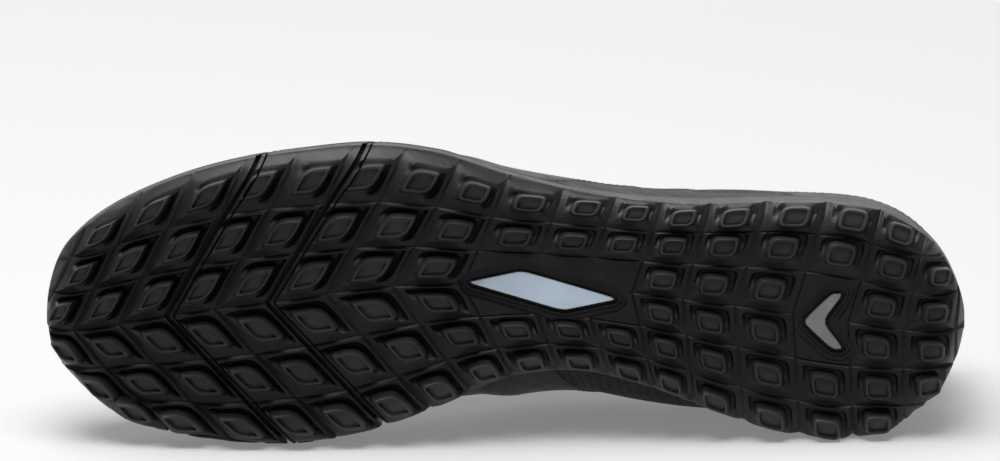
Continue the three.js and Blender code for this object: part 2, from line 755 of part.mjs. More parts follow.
const upperSurface = upperGrid();
const upperNormals = gridNormals(upperSurface);

// The upper's wall, thicker where the collar is padded and level at the foot of each profile.
function upperWall() {
  const { vertices, ids } = upperSurface;
  const thickness = vertices.map(() => UPPER_WALL);
  const level = vertices.map(() => false);
  columns.forEach((column, i) => {
    const padded = THREE.MathUtils.smoothstep(column.share, LACING_TOP_SIDE, COLLAR.fullSide);
    ids[i].forEach((id, j) => {
      const high = THREE.MathUtils.smoothstep(j / UPPER_ROWS, COLLAR.low, COLLAR.high);
      thickness[id] = UPPER_WALL + COLLAR_PADDING * padded * high;
      level[id] = j <= 1;
    });
  });
  return vertices.map((p, id) => {
    const n = upperNormals[id].clone();
    if (level[id]) n.setZ(0).normalize();
    return p.clone().addScaledVector(n, -thickness[id]);
  });
}

function upper() {
  const { vertices, ids } = upperSurface;
  const lining = upperWall();
  const outside = gridTriangles(upperSurface);
  const triangles = [
    ...outside.map((t) => t.map((id) => vertices[id])),
    ...outside.map((t) => [lining[t[0]], lining[t[2]], lining[t[1]]]),
  ];
  const rim = (a, b) => {
    triangles.push([vertices[a], vertices[b], lining[b]], [vertices[a], lining[b], lining[a]]);
  };
  for (let i = 0; i < ringSize; i += 1) {
    const next = (i + 1) % ringSize;
    rim(ids[next][0], ids[i][0]);
    const [a, b] = [ids[i][UPPER_ROWS], ids[next][UPPER_ROWS]];
    const open = i >= throatColumn && i < ringSize - throatColumn;
    if (open) rim(a, b);
  }
  let solid = toSolid(fromTriangles(triangles));
  eyelets().forEach((eyelet) => {
    solid = solid.subtract(eyeletCutter(eyelet));
  });
  return toGeometry(solid);
}

// A place on the outside of the upper with its normal, between the grid's columns and rows.
function upperPlace(share, side, height) {
  const column = columnAt(share, side);
  const step = 0.02;
  const here = upperPoint(column, height);
  const up = upperPoint(column, height).sub(upperPoint(column, height - step));
  const along = upperPoint(columnAt(share + step, side), height)
    .sub(upperPoint(columnAt(share - step, side), height));
  const normal = along.cross(up).multiplyScalar(-side).normalize();
  return { point: here, normal };
}

const fineSides = {
  [OUTER]: sidePoints(curve, OUTER, SIDE_FINENESS),
  [INNER]: sidePoints(curve, INNER, SIDE_FINENESS),
};

// A column between the made ones.
function columnAt(share, side) {
  const points = fineSides[side];
  const last = SIDE_FINENESS;
  const i = THREE.MathUtils.clamp(share * last, 1, last - 1);
  const low = Math.floor(i);
  const point = points[low].clone().lerp(points[Math.min(low + 1, last)], i - low);
  const way = points[Math.min(low + 2, last)].clone().sub(points[Math.max(low - 2, 0)]);
  const out = new THREE.Vector3(way.y, -way.x, 0).normalize().multiplyScalar(-side);
  return { point, out, side, share };
}

function eyelets() {
  const pairs = Array.from({ length: EYELET_PAIRS }, (_, i) =>
    lerp(FIRST_EYELET_SIDE, LAST_EYELET_SIDE, i / (EYELET_PAIRS - 1)),
  );
  return pairs.flatMap((share) => [
    { ...upperPlace(share, OUTER, EYELET_HEIGHT), share, side: OUTER },
    { ...upperPlace(share, INNER, EYELET_HEIGHT), share, side: INNER },
  ]);
}

function eyeletCutter({ point, normal }) {
  const depth = 2 * UPPER_WALL;
  const radius = EYELET_DIAMETER / 2;
  const hole = new THREE.CylinderGeometry(radius, radius, 2 * depth, EYELET_CORNERS);
  hole.applyQuaternion(
    new THREE.Quaternion().setFromUnitVectors(new THREE.Vector3(0, 1, 0), normal),
  );
  hole.translate(point.x, point.y, point.z);
  hole.deleteAttribute("normal");
  hole.deleteAttribute("uv");
  return toSolid(mergeVertices(hole, MERGE_DISTANCE));
}

// A point over the gap between the two edges of the opening, at a share of the way across.
function crownPoint(a, b, t) {
  const p = a.clone().lerp(b, t);
  p.z += CROWN * a.distanceTo(b) * 4 * t * (1 - t);
  return p;
}

// The cross-section of the tongue under the upper, from one side over the gap to the other.
function tongueSection(share, drop) {
  const edge = (side, height) => {
    const { point, normal } = upperPlace(share, side, height);
    return point.addScaledVector(normal, -drop);
  };
  const outer = TONGUE_HEIGHTS.map((height) => edge(OUTER, height));
  const inner = TONGUE_HEIGHTS.map((height) => edge(INNER, height)).reverse();
  const a = topPoint(share, OUTER);
  const b = topPoint(share, INNER);
  const crown = [0.3, 0.5, 0.7].map((t) => {
    const p = crownPoint(a, b, t);
    p.z -= drop;
    return p;
  });
  return [...outer, ...crown, ...inner];
}

function tongueTab(section, drop) {
  const middle = section[Math.floor(section.length / 2)];
  return TAB_STEPS.map(({ rise, lean, narrow, side }) => {
    const angle = THREE.MathUtils.degToRad(lean);
    return section.map((p) => {
      const q = p.clone();
      q.y = lerp(middle.y, p.y, narrow);
      q.z = lerp(middle.z, p.z, side);
      q.x += Math.cos(angle) * TONGUE_TAB * rise - drop * Math.sin(angle) * TAB_SPREAD;
      q.z += Math.sin(angle) * TONGUE_TAB * rise;
      return q;
    });
  });
}

function tongue() {
  const drop = UPPER_WALL + TONGUE_GAP;
  const sheet = (depth) => {
    const sections = TONGUE_SIDES.map((share) => {
      const sunk = TONGUE_SINK * THREE.MathUtils.smoothstep(share, SINK_SIDE, LACING_TOP_SIDE);
      return tongueSection(share, depth + sunk);
    });
    return [...sections, ...tongueTab(sections[sections.length - 1], depth - drop)];
  };
  const top = sheet(drop);
  const under = sheet(drop + TONGUE_THICKNESS);
  const rings = top.map((row, i) => [...row, ...under[i].slice().reverse()]);
  return loft(rings.reverse(), true);
}

// One strip of the lace, from an eyelet over the tongue to one on the other side.
function laceStrip(from, to) {
  const rise = LACE_GAP + LACE_THICKNESS / 2;
  const place = (eyelet, height) => {
    const { point, normal } = upperPlace(eyelet.share, eyelet.side, height);
    return { point: point.addScaledVector(normal, rise), up: normal };
  };
  const a = place(from, EDGE_HEIGHT);
  const b = place(to, EDGE_HEIGHT);
  const over = [0.3, 0.7].map((t) => ({
    point: crownPoint(a.point, b.point, t),
    up: a.up.clone().lerp(b.up, t).normalize(),
  }));
  const stations = [place(from, EYELET_HEIGHT), a, ...over, b, place(to, EYELET_HEIGHT)];
  const across = to.point.clone().sub(from.point).normalize();
  const rings = stations.map(({ point, up }) => {
    const wide = up.clone().cross(across).normalize().multiplyScalar(LACE_WIDTH / 2);
    const high = across.clone().cross(wide).normalize().multiplyScalar(LACE_THICKNESS / 2);
    return [
      point.clone().sub(wide).sub(high),
      point.clone().add(wide).sub(high),
      point.clone().add(wide).add(high),
      point.clone().sub(wide).add(high),
    ];
  });
  return toSolid(loft(rings, true));
}

// The lace: a bar across the lowest pair of eyelets and two zigzags from there, joined where they cross.
function laces() {
  const holes = eyelets();
  const pair = (i) => [holes[2 * i], holes[2 * i + 1]];
  let solid = laceStrip(...pair(0));
  for (let i = 0; i + 1 < EYELET_PAIRS; i += 1) {
    const [outerLow, innerLow] = pair(i);
    const [outerHigh, innerHigh] = pair(i + 1);
    solid = solid.add(laceStrip(outerLow, innerHigh)).add(laceStrip(outerHigh, innerLow));
  }
  return toGeometry(solid);
}

// The insole lies on the footbed, inside the upper.
function insole() {
  const margin = CLEARANCE + UPPER_WALL + INSOLE_MARGIN;
  const [seat, ...inside] = bedRings();
  const edge = seat.map((p, i) => {
    const share = Math.min(margin / p.distanceTo(inside[0][i]), NEAREST_SHARE);
    return p.clone().lerp(inside[0][i], share);
  });
  const raised = (height) =>
    [edge, ...inside].map((ring) => ring.map((p) => new THREE.Vector3(p.x, p.y, p.z + height)));
  return loft([
    ...raised(CLEARANCE).reverse(),
    ...raised(CLEARANCE + INSOLE_THICKNESS),
  ]);
}

function piece(name, geometry, look) {
  const mesh = new THREE.Mesh(geometry, new THREE.MeshStandardMaterial(look));
  mesh.name = name;
  return mesh;
}

// The centre of mass of a few solids of one density, from the cones between the origin and their faces.
function centreOf(geometries) {
  const centre = new THREE.Vector3();
  let volume = 0;
  geometries.forEach((geometry) => {
    facesOf(geometry).forEach(({ a, b, c }) => {
      const cone = a.dot(b.clone().cross(c)) / 6;
      volume += cone;
      centre.addScaledVector(a.clone().add(b).add(c), cone / 4);
    });
  });
  return centre.divideScalar(volume);
}

function facesOf(geometry) {
  const corner = (i) =>
    new THREE.Vector3().fromBufferAttribute(geometry.getAttribute("position"), geometry.index.array[i]);
  return Array.from(
    { length: geometry.index.count / 3 },
    (_, i) => new THREE.Triangle(corner(3 * i), corner(3 * i + 1), corner(3 * i + 2)),
  );
}

// The turn that lays the shoe on its inner side. Of the faces of its hull, it rests on the one that has the
// centre of mass over it and looks to that side. The toe stays at -x.
function layingTurn(geometries) {
  const facingInwards = 0.7;
  const centre = centreOf(geometries);
  const hull = toGeometry(wasm.Manifold.hull(geometries.map(toSolid)));
  const down = facesOf(hull)
    .map((face) => ({ face, normal: face.getNormal(new THREE.Vector3()) }))
    .filter(({ normal }) => normal.y > facingInwards)
    .find(({ face, normal }) => {
      const drop = face.a.clone().sub(centre).dot(normal);
      return face.containsPoint(centre.clone().addScaledVector(normal, drop));
    }).normal;
  const up = down.clone().negate();
  const heelwards = new THREE.Vector3(1, 0, 0).projectOnPlane(up).normalize();
  const rows = new THREE.Matrix4().makeBasis(heelwards, up.clone().cross(heelwards), up);
  return rows.transpose();
}

const shoe = new THREE.Group();
shoe.add(
  piece("outsole", outsole(), { color: 0x232226, roughness: 0.62, metalness: 0 }),
  piece("arch_inlay", inlay(lozengePlan), { color: 0x9db4c8, roughness: 0.5, metalness: 0 }),
  piece("heel_inlay", inlay(arrowheadPlan), { color: 0x59585b, roughness: 0.4, metalness: 0 }),
  piece("upper", upper(), { color: 0x2d2d30, roughness: 0.55, metalness: 0 }),
  piece("tongue", tongue(), { color: 0x262629, roughness: 0.8, metalness: 0 }),
  piece("insole", insole(), { color: 0x1f1f22, roughness: 0.9, metalness: 0 }),
  piece("laces", laces(), { color: 0x2a2a2d, roughness: 0.85, metalness: 0 }),
);

const geometries = shoe.children.map((mesh) => mesh.geometry);
const turn = layingTurn(geometries);
geometries.forEach((geometry) => geometry.applyMatrix4(turn));
const bounds = new THREE.Box3().setFromObject(shoe);
const middle = bounds.getCenter(new THREE.Vector3());
geometries.forEach((geometry) => geometry.translate(-middle.x, -middle.y, -bounds.min.z));

export default shoe;
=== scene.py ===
"""The looks of a turf shoe that lies on its inner side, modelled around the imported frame.

The shoe is worked out upright in its own frame, in millimetres: x from the toe tip to the heel back, y to the
inner side of the foot, z up from the ground under the studs. laid() then puts it where the frame has it.
"""

import math

import bmesh
import bpy
import numpy as np
from bpy.props import FloatProperty, FloatVectorProperty, PointerProperty
from mathutils import Matrix, Vector


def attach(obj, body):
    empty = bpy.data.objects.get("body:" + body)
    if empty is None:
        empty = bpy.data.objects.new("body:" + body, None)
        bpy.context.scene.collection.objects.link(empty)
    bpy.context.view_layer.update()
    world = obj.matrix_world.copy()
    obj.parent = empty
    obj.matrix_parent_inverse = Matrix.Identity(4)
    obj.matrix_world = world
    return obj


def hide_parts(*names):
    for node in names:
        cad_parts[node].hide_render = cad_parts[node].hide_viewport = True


bl_info = {
    "name": "Turf Shoe",
    "version": (1, 0, 0),
    "blender": (4, 5, 0),
    "location": "View3D > Sidebar > Turf Shoe",
    "description": "Builds the studded sole, the upper, the tongue and the laces of a turf shoe",
    "category": "Object",
}

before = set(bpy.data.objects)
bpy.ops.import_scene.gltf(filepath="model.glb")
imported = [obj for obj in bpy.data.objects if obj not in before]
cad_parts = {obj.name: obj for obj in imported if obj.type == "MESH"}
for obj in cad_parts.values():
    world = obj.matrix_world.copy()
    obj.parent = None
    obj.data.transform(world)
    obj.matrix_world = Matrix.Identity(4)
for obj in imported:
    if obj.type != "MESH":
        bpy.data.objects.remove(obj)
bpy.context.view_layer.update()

# Sizes of the shoe, in millimetres
LENGTH = 282
BALL_WIDTH = 91.3
INSTEP_HEIGHT = 84
HEEL_HEIGHT = 82
TOE_SPRING = 13
HEEL_THICKNESS = 13
LIP_HEIGHT = 8
LIP_THICKNESS = 2.2
LIP_LEAN = 1
OUTER_SHOULDER_WIDTH = 18
INNER_SHOULDER_WIDTH = 10
SHOULDER_RISE = 8
STUD_HEIGHT = 4.5
STUD_INSET = 4.2
POCKET_DEPTH = 1.8
INLAY_THICKNESS = 1.2
INLAY_MARGIN = 1.2
UPPER_WALL = 2
COLLAR_PADDING = 2.5
PANEL_THICKNESS = 0.6
INSOLE_THICKNESS = 3
INSOLE_MARGIN = 0.6
TONGUE_THICKNESS = 3
TONGUE_TAB = 24
TONGUE_GAP = 1.4
TONGUE_SINK = 2
LACE_GAP = 0.7
RING_RADIUS = 3.1
RING_THICKNESS = 0.7
RING_STAND = 0.6
STITCH_PITCH = 2.6
WALL_STITCH_PITCH = 1.5
STITCH_WIDTH = 0.5
CLEARANCE = 0.3
UPPER_INSET = LIP_LEAN + LIP_THICKNESS + CLEARANCE
INSOLE_INSET = UPPER_INSET + UPPER_WALL + INSOLE_MARGIN

# The two sides of the shoe, as signs of y
OUTER = -1
INNER = 1

# Places on the upper, as shares of the way round a side and of the height from the lip to the top edge
THROAT_SIDE = 0.33
LACING_TOP_SIDE = 0.575
FIRST_EYELET_SIDE = 0.37
LAST_EYELET_SIDE = 0.545
EYELET_PAIRS = 5
EYELET_HEIGHT = 0.9
EYELET_DIP = 0.012
LACE_LIFT_HEIGHT = 0.93
EDGE_HEIGHT = 0.985
TONGUE_LOW = 0.82
TONGUE_START = 0.29
TONGUE_END = LACING_TOP_SIDE - 0.015
COLLAR = {"full_side": 0.7, "low": 0.55, "high": 0.9}

# How the shoe lies: the angles of the floor to the sole, and where the shoe's own origin is on the floor
SIDE_LEAN = math.radians(3.769)
HEEL_LEAN = math.radians(0.347)
ORIGIN = (-0.14096, -0.05046, 0.04413)

# The sole's widest line: place along the length, reach to the outer and the inner side
OUTLINE = (
    (0, -0.046, 0.046),
    (0.0125, 0.139, 0.196),
    (0.0355, 0.237, 0.276),
    (0.0745, 0.332, 0.375),
    (0.145, 0.437, 0.441),
    (0.216, 0.501, 0.467),
    (0.287, 0.534, 0.465),
    (0.358, 0.549, 0.414),
    (0.429, 0.52, 0.336),
    (0.5, 0.448, 0.247),
    (0.571, 0.389, 0.23),
    (0.642, 0.355, 0.273),
    (0.713, 0.34, 0.35),
    (0.784, 0.345, 0.425),
    (0.855, 0.34, 0.458),
    (0.908, 0.314, 0.441),
    (0.95, 0.242, 0.371),
    (0.982, 0.124, 0.252),
    (1, -0.062, 0.062),
)

# The sole's middle line is kept between these shares of its length
SPINE_START = 0.14
SPINE_END = 0.87

# The sole from the side: place, rise of the tread, thickness, height of the lip
SIDE_PROFILE = (
    (0, 1, 0.5, 1.15),
    (0.05, 0.7, 0.5, 1.1),
    (0.1, 0.45, 0.5, 1.05),
    (0.16, 0.22, 0.52, 1),
    (0.23, 0.05, 0.55, 1),
    (0.28, 0, 0.58, 1),
    (0.44, 0, 0.68, 1),
    (0.57, 0.13, 0.8, 0.8),
    (0.7, 0, 1, 0.85),
    (0.92, 0, 1, 1.05),
    (1, 0.18, 1, 1.15),
)

# Rows of the cup's wall: share of the way from the shoulder up to the lip, and how far it stands out, in
# leans of the lip. The wall has a fine groove at two thirds of its height.
WALL_ROWS = (
    (0.0, 0.0),
    (0.12, -0.02),
    (0.3, -0.12),
    (0.5, -0.3),
    (0.6, -0.42),
    (0.63, -0.3),
    (0.66, -0.3),
    (0.69, -0.5),
    (0.8, -0.66),
    (0.9, -0.8),
    (0.96, -0.95),
)
LIP_TURNS = (20, 60, 90, 120, 160)
LIP_ROUNDING = 0.5
CUP_BOTTOM = -25
SLAB_TOP = 70
SKIRT_SLOPE = 1.5

# The upper's profiles: side, top, middle, gap, instep, heel, arc, outer belly, inner belly
SECTIONS = (
    (0, 0.125, 0.036, 0, 0.55, 0, 88, 0, 0),
    (0.08, 0.14, 0.034, 0, 0.567, 0, 88, 0, 0),
    (0.16, 0.18, 0.029, 0, 0.605, 0, 88, 0.005, 0.005),
    (0.24, 0.245, 0.021, 0, 0.665, 0, 88, 0.01, 0.01),
    (0.33, 0.33, 0.01, 0, 0.75, 0, 86, 0.015, 0.021),
    (0.42, 0.425, 0, 0.101, 0.845, 0, 74, 0.015, 0.093),
    (0.5, 0.51, -0.01, 0.129, 0.925, 0, 68, 0.018, 0.2),
    (0.575, 0.59, 0, 0.154, 1, 0, 58, 0.02, 0.195),
    (0.64, 0.66, 0.022, 0.262, 0.45, 0.42, 44, 0.014, 0.16),
    (0.72, 0.745, 0.038, 0.308, 0.1, 0.68, 34, 0.004, 0.09),
    (0.81, 0.845, 0.046, 0.292, 0, 0.83, 30, -0.002, 0.015),
    (0.9, 0.925, 0.043, 0.221, 0, 0.93, 30, 0, 0.01),
    (0.95, 0.953, 0.047, 0.129, 0, 0.98, 32, 0.012, 0.015),
    (1, 0.963, 0.051, 0, 0, 1, 34, 0.03, 0.03),
)
SECTION_COLUMNS = {
    "top": 1,
    "middle": 2,
    "gap": 3,
    "instep": 4,
    "heel": 5,
    "arc": 6,
    "outer": 7,
    "inner": 8,
}

THROAT_MARGIN = 0.003
BELLY_SKEW = 0.85
CROWN = 0.16

# The stud lattice: column, point, sweep of the outer and the inner arm, middle line, and the pitch of the
# rows on the outer and the inner side
TREAD = (
    (-3.6, -0.016, 0.05, 0.075, 0.095, 0.124, 0.124),
    (-3, 0.008, 0.054, 0.08, 0.093, 0.132, 0.129),
    (-2, 0.051, 0.066, 0.096, 0.077, 0.16, 0.121),
    (-1, 0.106, 0.071, 0.106, 0.039, 0.169, 0.142),
    (0, 0.155, 0.076, 0.112, 0.012, 0.173, 0.149),
    (1, 0.211, 0.079, 0.112, -0.014, 0.17, 0.152),
    (2, 0.271, 0.076, 0.105, -0.037, 0.165, 0.144),
    (3, 0.34, 0.068, 0.086, -0.068, 0.146, 0.136),
    (4, 0.415, 0.051, 0.06, -0.083, 0.124, 0.117),
    (5, 0.489, 0.036, 0.037, -0.083, 0.107, 0.106),
    (6, 0.552, 0.036, 0.028, -0.072, 0.102, 0.101),
    (7, 0.609, 0.033, 0.026, -0.057, 0.104, 0.109),
    (8, 0.666, 0.027, 0.014, -0.039, 0.112, 0.118),
    (9, 0.72, 0.029, 0.008, -0.014, 0.127, 0.132),
    (10, 0.78, 0.035, 0.008, 0.011, 0.14, 0.146),
    (11, 0.843, 0.036, 0.006, 0.043, 0.146, 0.152),
    (12, 0.902, 0.031, 0.004, 0.07, 0.132, 0.142),
    (13, 0.962, 0.02, 0, 0.093, 0.124, 0.129),
    (13.6, 0.993, 0.01, 0, 0.093, 0.124, 0.124),
)
STUD_ROWS = 6
FIRST_COLUMN = -3
LAST_COLUMN = 13
STUD_OVERHANG = 0.6
ARM_ROWS = (STUD_ROWS - 1) / 2
MIDDLE_ROW = (STUD_ROWS + 1) / 2

# The rings of a tile of the tread, from its edge to the middle of its stud. Each has its half size, in
# pitches, and its height over the tread, first on the two sides with the pocket and then on the two plain
# sides. The last value says how far its corners reach: the sum of a corner's two places, with 2 the sharpest.
TILE_RINGS = (
    (0.5, 0.5, 0.5, 0.28, 1.99),
    (0.47, 0.86, 0.474, 0.36, 1.99),
    (0.452, 1.08, 0.455, 0.5, 1.94),
    (0.412, 1.0, 0.42, 0.7, 1.82),
    (0.396, 0.6, 0.375, 1.1, 1.74),
    (0.366, -1.7, 0.33, 1.5, 1.66),
    (0.296, -2.2, 0.28, 1.9, 1.58),
    (0.262, 3.3, 0.257, 3.1, 1.54),
    (0.251, 4.0, 0.247, 3.95, 1.55),
    (0.234, 4.4, 0.23, 4.38, 1.57),
    (0.214, 4.5, 0.212, 4.5, 1.58),
    (0.19, 4.46, 0.19, 4.46, 1.6),
    (0.168, 3.5, 0.17, 3.0, 1.64),
    (0.09, 3.4, 0.09, 3.2, 1.68),
)
TILE_HALF = 0.5
STUD_HALF = 0.29
FLAT_TILE_HEIGHT = 0.84
MOST_POINTED = 1.99
EDGE_STEPS = (-1.0, -0.87, -0.64, -0.33, 0.0, 0.33, 0.64, 0.87)

# From the first column to the second, the studs change from the forefoot's form to the heel's: the pocket
# turns and gets fainter, two corners get less pointed and the other two a little more.
HEEL_FORM_COLUMNS = (3, 6)
POCKET_SOFTNESS = 0.7
POCKET_TURN = 0.8
POCKET_LOSS = 0.4
POINT_GAIN = 0.28
POINT_LOSS = 0.16
BLUNT_GAIN = 0.08

# A stud follows the tread's surface at its edge and stands straight out of it further in. Its direction lies
# between the surface's and straight down.
SURFACE_BLEND = (0.3, 0.5)
STUD_SQUARE = 0.55
STUD_UPRIGHT = 0.45
BORDER_ROWS = (0.68, 0.86)

# The flex grooves: their columns, where they start and end, in rows, and how they bend towards the outer edge
FLEX_COLUMNS = (-0.5, 1.5)
FLEX_ENDS = (-0.4, STUD_ROWS + 1.4)
FLEX_SWEEP = 1.4
FLEX_BEND = 1.2
FLEX_BEND_FROM = 2.6
FLEX_BEND_ROWS = 1.9
FLEX_LEAN = 0.75
FLEX_SIDE_FADE = 1.2
FLEX_OVERRUN = 2
SECOND_GROOVE = {"offset": 2.2, "width": 0.7}

# The inlays, in shares of the length along it and of the ball width across, and how far studs keep off them
ARCH_INLAY = {
    "at": 0.54,
    "across": -0.054,
    "length": 0.165,
    "width": 0.118,
    "turn": 7,
    "skew": 0.3,
    "clear_along": 0.0825,
    "clear_across": 0.09,
}
HEEL_INLAY = {
    "at": 0.848,
    "across": 0.056,
    "reach": 0.095,
    "sweep": 0.026,
    "width": 0.056,
    "nose": 0.35,
    "end": 0.7,
    "clear_along": 0.03,
    "clear_across": 0.1,
}

# Steps of each recess: how far it is grown past the inlay, and its depth as a share of the pocket's
RECESS_STEPS = ((3.6, -0.1), (2.3, 0.35), (INLAY_MARGIN, 1.0))

# Heights over the tread between which a stud's flank goes from the painted shade of the valleys to the
# rubber's colour, and insets between which the wall does; the edge studs get a painted highlight on top of
# that
STUD_FLANK = (1, 3.4)
WALL_FADE = (1.5, 10)
EDGE_STUD_HIGHLIGHT = 0.5

# The upper's mesh, and about how long its sides and profiles are, in millimetres
SHARE_STEPS = 200
HEIGHT_STEPS = 44
RIM_STEPS = 7
RIM_ROUNDING = 0.8
WALL_LEVELS = 9
SIDE_LENGTH = 330
PROFILE_LENGTH = 80

# The sewn-on panels: their edges as shares of the side or the height, and how these lean with the height
TOE_CAP = {"end": 0.165, "arch": 0.05}
EYESTAY = {"start": 0.28, "end": 0.63, "low": 0.765}
COUNTER = {"start": 0.803, "lean": 0.05, "high": 0.655}
SADDLE = {"start": 0.405, "start_lean": 0.12, "end": 0.53, "end_lean": 0.16}
PANEL_BEVEL = 0.9

# Creases across the vamp: share of the side, lowest and highest height, half width, and depth in millimetres
CREASES = (
    (0.300, 0.30, 0.98, 0.006, 0.25),
    (0.328, 0.20, 0.90, 0.007, 0.42),
    (0.352, 0.35, 0.80, 0.006, 0.30),
    (0.385, 0.10, 0.78, 0.008, 0.45),
    (0.410, 0.25, 0.70, 0.006, 0.28),
    (0.448, 0.05, 0.60, 0.009, 0.35),
)

# Steps of the tongue's tab over the lacing: rise, lean, how narrow, how curved
TAB_STEPS = (
    (0.0, 20, 0.66, 0.9),
    (0.1, 30, 0.62, 0.7),
    (0.5, 50, 0.8, 0.3),
    (0.85, 58, 0.88, 0.2),
    (1.0, 61, 0.8, 0.2),
)

# Half of the lace's cross-section is one unit wide and one unit thick
LACE_SECTION = (
    (-1, 0),
    (-0.93, -0.7),
    (-0.7, -1),
    (0, -1.05),
    (0.7, -1),
    (0.93, -0.7),
    (1, 0),
    (0.93, 0.7),
    (0.7, 1),
    (0, 1.05),
    (-0.7, 1),
    (-0.93, 0.7),
)

# Seams of the upper: share and height at both ends and in the middle, as places on either side
SEAMS = (
    ((0.158, 0.06), (0.168, 0.5), (0.206, 0.97)),
    ((0.150, 0.06), (0.160, 0.5), (0.198, 0.97)),
    ((0.293, 0.80), (0.44, 0.80), (0.61, 0.80)),
    ((0.808, 0.05), (0.793, 0.35), (0.782, 0.60)),
    ((0.782, 0.61), (0.88, 0.61), (0.998, 0.61)),
    ((0.64, 0.70), (0.8, 0.70), (0.998, 0.70)),
    ((0.421, 0.08), (0.459, 0.4), (0.500, 0.72)),
    ((0.536, 0.08), (0.587, 0.4), (0.638, 0.72)),
)
# The seam on the cup's wall round the toe: where it starts and ends, and its share of the wall's height
WALL_SEAM = (0.04, 0.235, 0.5)
STITCH_FILL = 0.7
STITCH_RISE = 0.3
STITCH_SINK = 0.4

# The camera: the point it aims at, where that point lies in the picture, and how large the picture shows it
PICTURE_SIZE = (1000, 461)
CAMERA_TURN = -0.22
CAMERA_RISE = 14.8
CAMERA_ROLL = -0.75
AIM = Vector((0, -0.05, 0.045))
AIM_PIXEL = (505.6, 305.1)
PIXELS_PER_METRE = 3264
CAMERA_DISTANCE = 6.0
SENSOR_WIDTH = 36.0

# The studio's lights: where each is, what it aims at, and its size, in metres
LIGHTS = {
    "key": ((-0.2, -0.2, 1.6), (0, -0.05, 0.05), (1.6, 1.2)),
    "back": ((-0.1, 2.2, 1.0), (0, 0, 0.05), (3.2, 1.2)),
    "fill": ((-0.8, -1.6, 0.9), (0, 0, 0.05), (1.0, 1.0)),
}
FLOOR_SIZE = 12
FLOOR_GLOW = 0.2
WORLD_STRENGTH = 0.18


def read(table, column, value):
    """A column of a table at a key, by a cubic that never overshoots its rows."""
    keys = np.array([row[0] for row in table], float)
    values = np.array([row[column] for row in table], float)
    x = np.clip(np.asarray(value, float), keys[0], keys[-1])
    i = np.clip(np.searchsorted(keys, x, side="left") - 1, 0, len(keys) - 2)
    slopes = np.diff(values) / np.diff(keys)
    before, after = slopes[:-1], slopes[1:]
    same_way = before * after > 0
    total = np.where(same_way, before + after, 1)
    tangents = np.concatenate(
        ([slopes[0]], np.where(same_way, 2 * before * after / total, 0), [slopes[-1]])
    )
    span = keys[i + 1] - keys[i]
    t = (x - keys[i]) / span
    rise = t * t * (3 - 2 * t)
    return (
        values[i] + (values[i + 1] - values[i]) * rise
        + t * (1 - t) ** 2 * span * tangents[i]
        + t * t * (t - 1) * span * tangents[i + 1]
    )


def smooth(low, high, value):
    """A smooth step from 0 to 1 between two values."""
    t = np.clip((np.asarray(value, float) - low) / (high - low), 0, 1)
    return t * t * (3 - 2 * t)


def closed_curve(knots, count):
    """Points on a closed centripetal curve through the knots, at equal steps of its parameter."""
    size = len(knots)
    at = np.arange(count) * size / count
    i = at.astype(int)
    t = (at - i)[:, None]
    p0, p1, p2, p3 = (knots[(i + k) % size] for k in (-1, 0, 1, 2))

    def gap(a, b):
        return np.sqrt(np.linalg.norm(b - a, axis=1))[:, None]

    d0, d1, d2 = gap(p0, p1), gap(p1, p2), gap(p2, p3)
    start = ((p1 - p0) / d0 - (p2 - p0) / (d0 + d1) + (p2 - p1) / d1) * d1
    end = ((p2 - p1) / d1 - (p3 - p1) / (d1 + d2) + (p3 - p2) / d2) * d1
    return (
        p1 + start * t
        + (3 * (p2 - p1) - 2 * start - end) * t ** 2
        + (2 * (p1 - p2) + start + end) * t ** 3
    )


def outline_ways():
    """The widest line's two sides, each as many points from the toe tip to the heel back."""
    rows = np.array(OUTLINE)
    along, outer, inner = rows[:, 0] * LENGTH, -rows[:, 1] * BALL_WIDTH, rows[:, 2] * BALL_WIDTH
    knots = np.concatenate((
        [[along[0], inner[0]]],
        np.stack((along[1:-1], outer[1:-1]), -1),
        [[along[-1], inner[-1]]],
        np.stack((along[1:-1], inner[1:-1]), -1)[::-1],
    ))
    steps = 1200
    points = closed_curve(knots, steps)
    half = steps // 2
    return {OUTER: points[: half + 1], INNER: np.concatenate((points[:1], points[half:][::-1]))}


WAYS = outline_ways()
REACHES = {
    side: np.concatenate(([0], np.cumsum(np.linalg.norm(np.diff(way, axis=0), axis=1))))
    for side, way in WAYS.items()
}


def side_point(share, side):
    """A point on the widest line, at a share of the way round one side from the toe to the heel."""
    goal = np.asarray(share, float) * REACHES[side][-1]
    return np.stack([np.interp(goal, REACHES[side], WAYS[side][:, k]) for k in (0, 1)], -1)


def side_out(share, side):
    """The direction out of the widest line at that share."""
    step = 0.004
    way = side_point(np.clip(share + step, 0, 1), side) - side_point(np.clip(share - step, 0, 1), side)
    out = np.stack((way[..., 1], -way[..., 0]), -1) * -side
    return out / np.linalg.norm(out, axis=-1, keepdims=True)


OUTLINE_POINTS = np.concatenate((
    side_point(np.linspace(0, 1, 91), OUTER),
    side_point(np.linspace(0, 1, 91), INNER)[1:-1][::-1],
))


def inset(points):
    """How far points in plan lie inside the widest line, negative outside it."""
    a = OUTLINE_POINTS
    b = np.roll(a, -1, axis=0)
    d = b - a
    found = []
    for part in np.array_split(points, max(1, len(points) // 4000)):
        gap = part[:, None] - a
        t = np.clip((gap * d).sum(-1) / (d * d).sum(-1), 0, 1)
        nearest = np.linalg.norm(gap - t[..., None] * d, axis=-1).min(1)
        crossed = (a[:, 1] > part[:, 1:2]) != (b[:, 1] > part[:, 1:2])
        rise = np.where(d[:, 1] == 0, 1, d[:, 1])
        left = part[:, :1] < a[:, 0] + (part[:, 1:2] - a[:, 1]) * d[:, 0] / rise
        inside = (crossed & left).sum(1) % 2 == 1
        found.append(np.where(inside, nearest, -nearest))
    return np.concatenate(found)


def tread_height(x):
    return STUD_HEIGHT + read(SIDE_PROFILE, 1, x / LENGTH) * TOE_SPRING


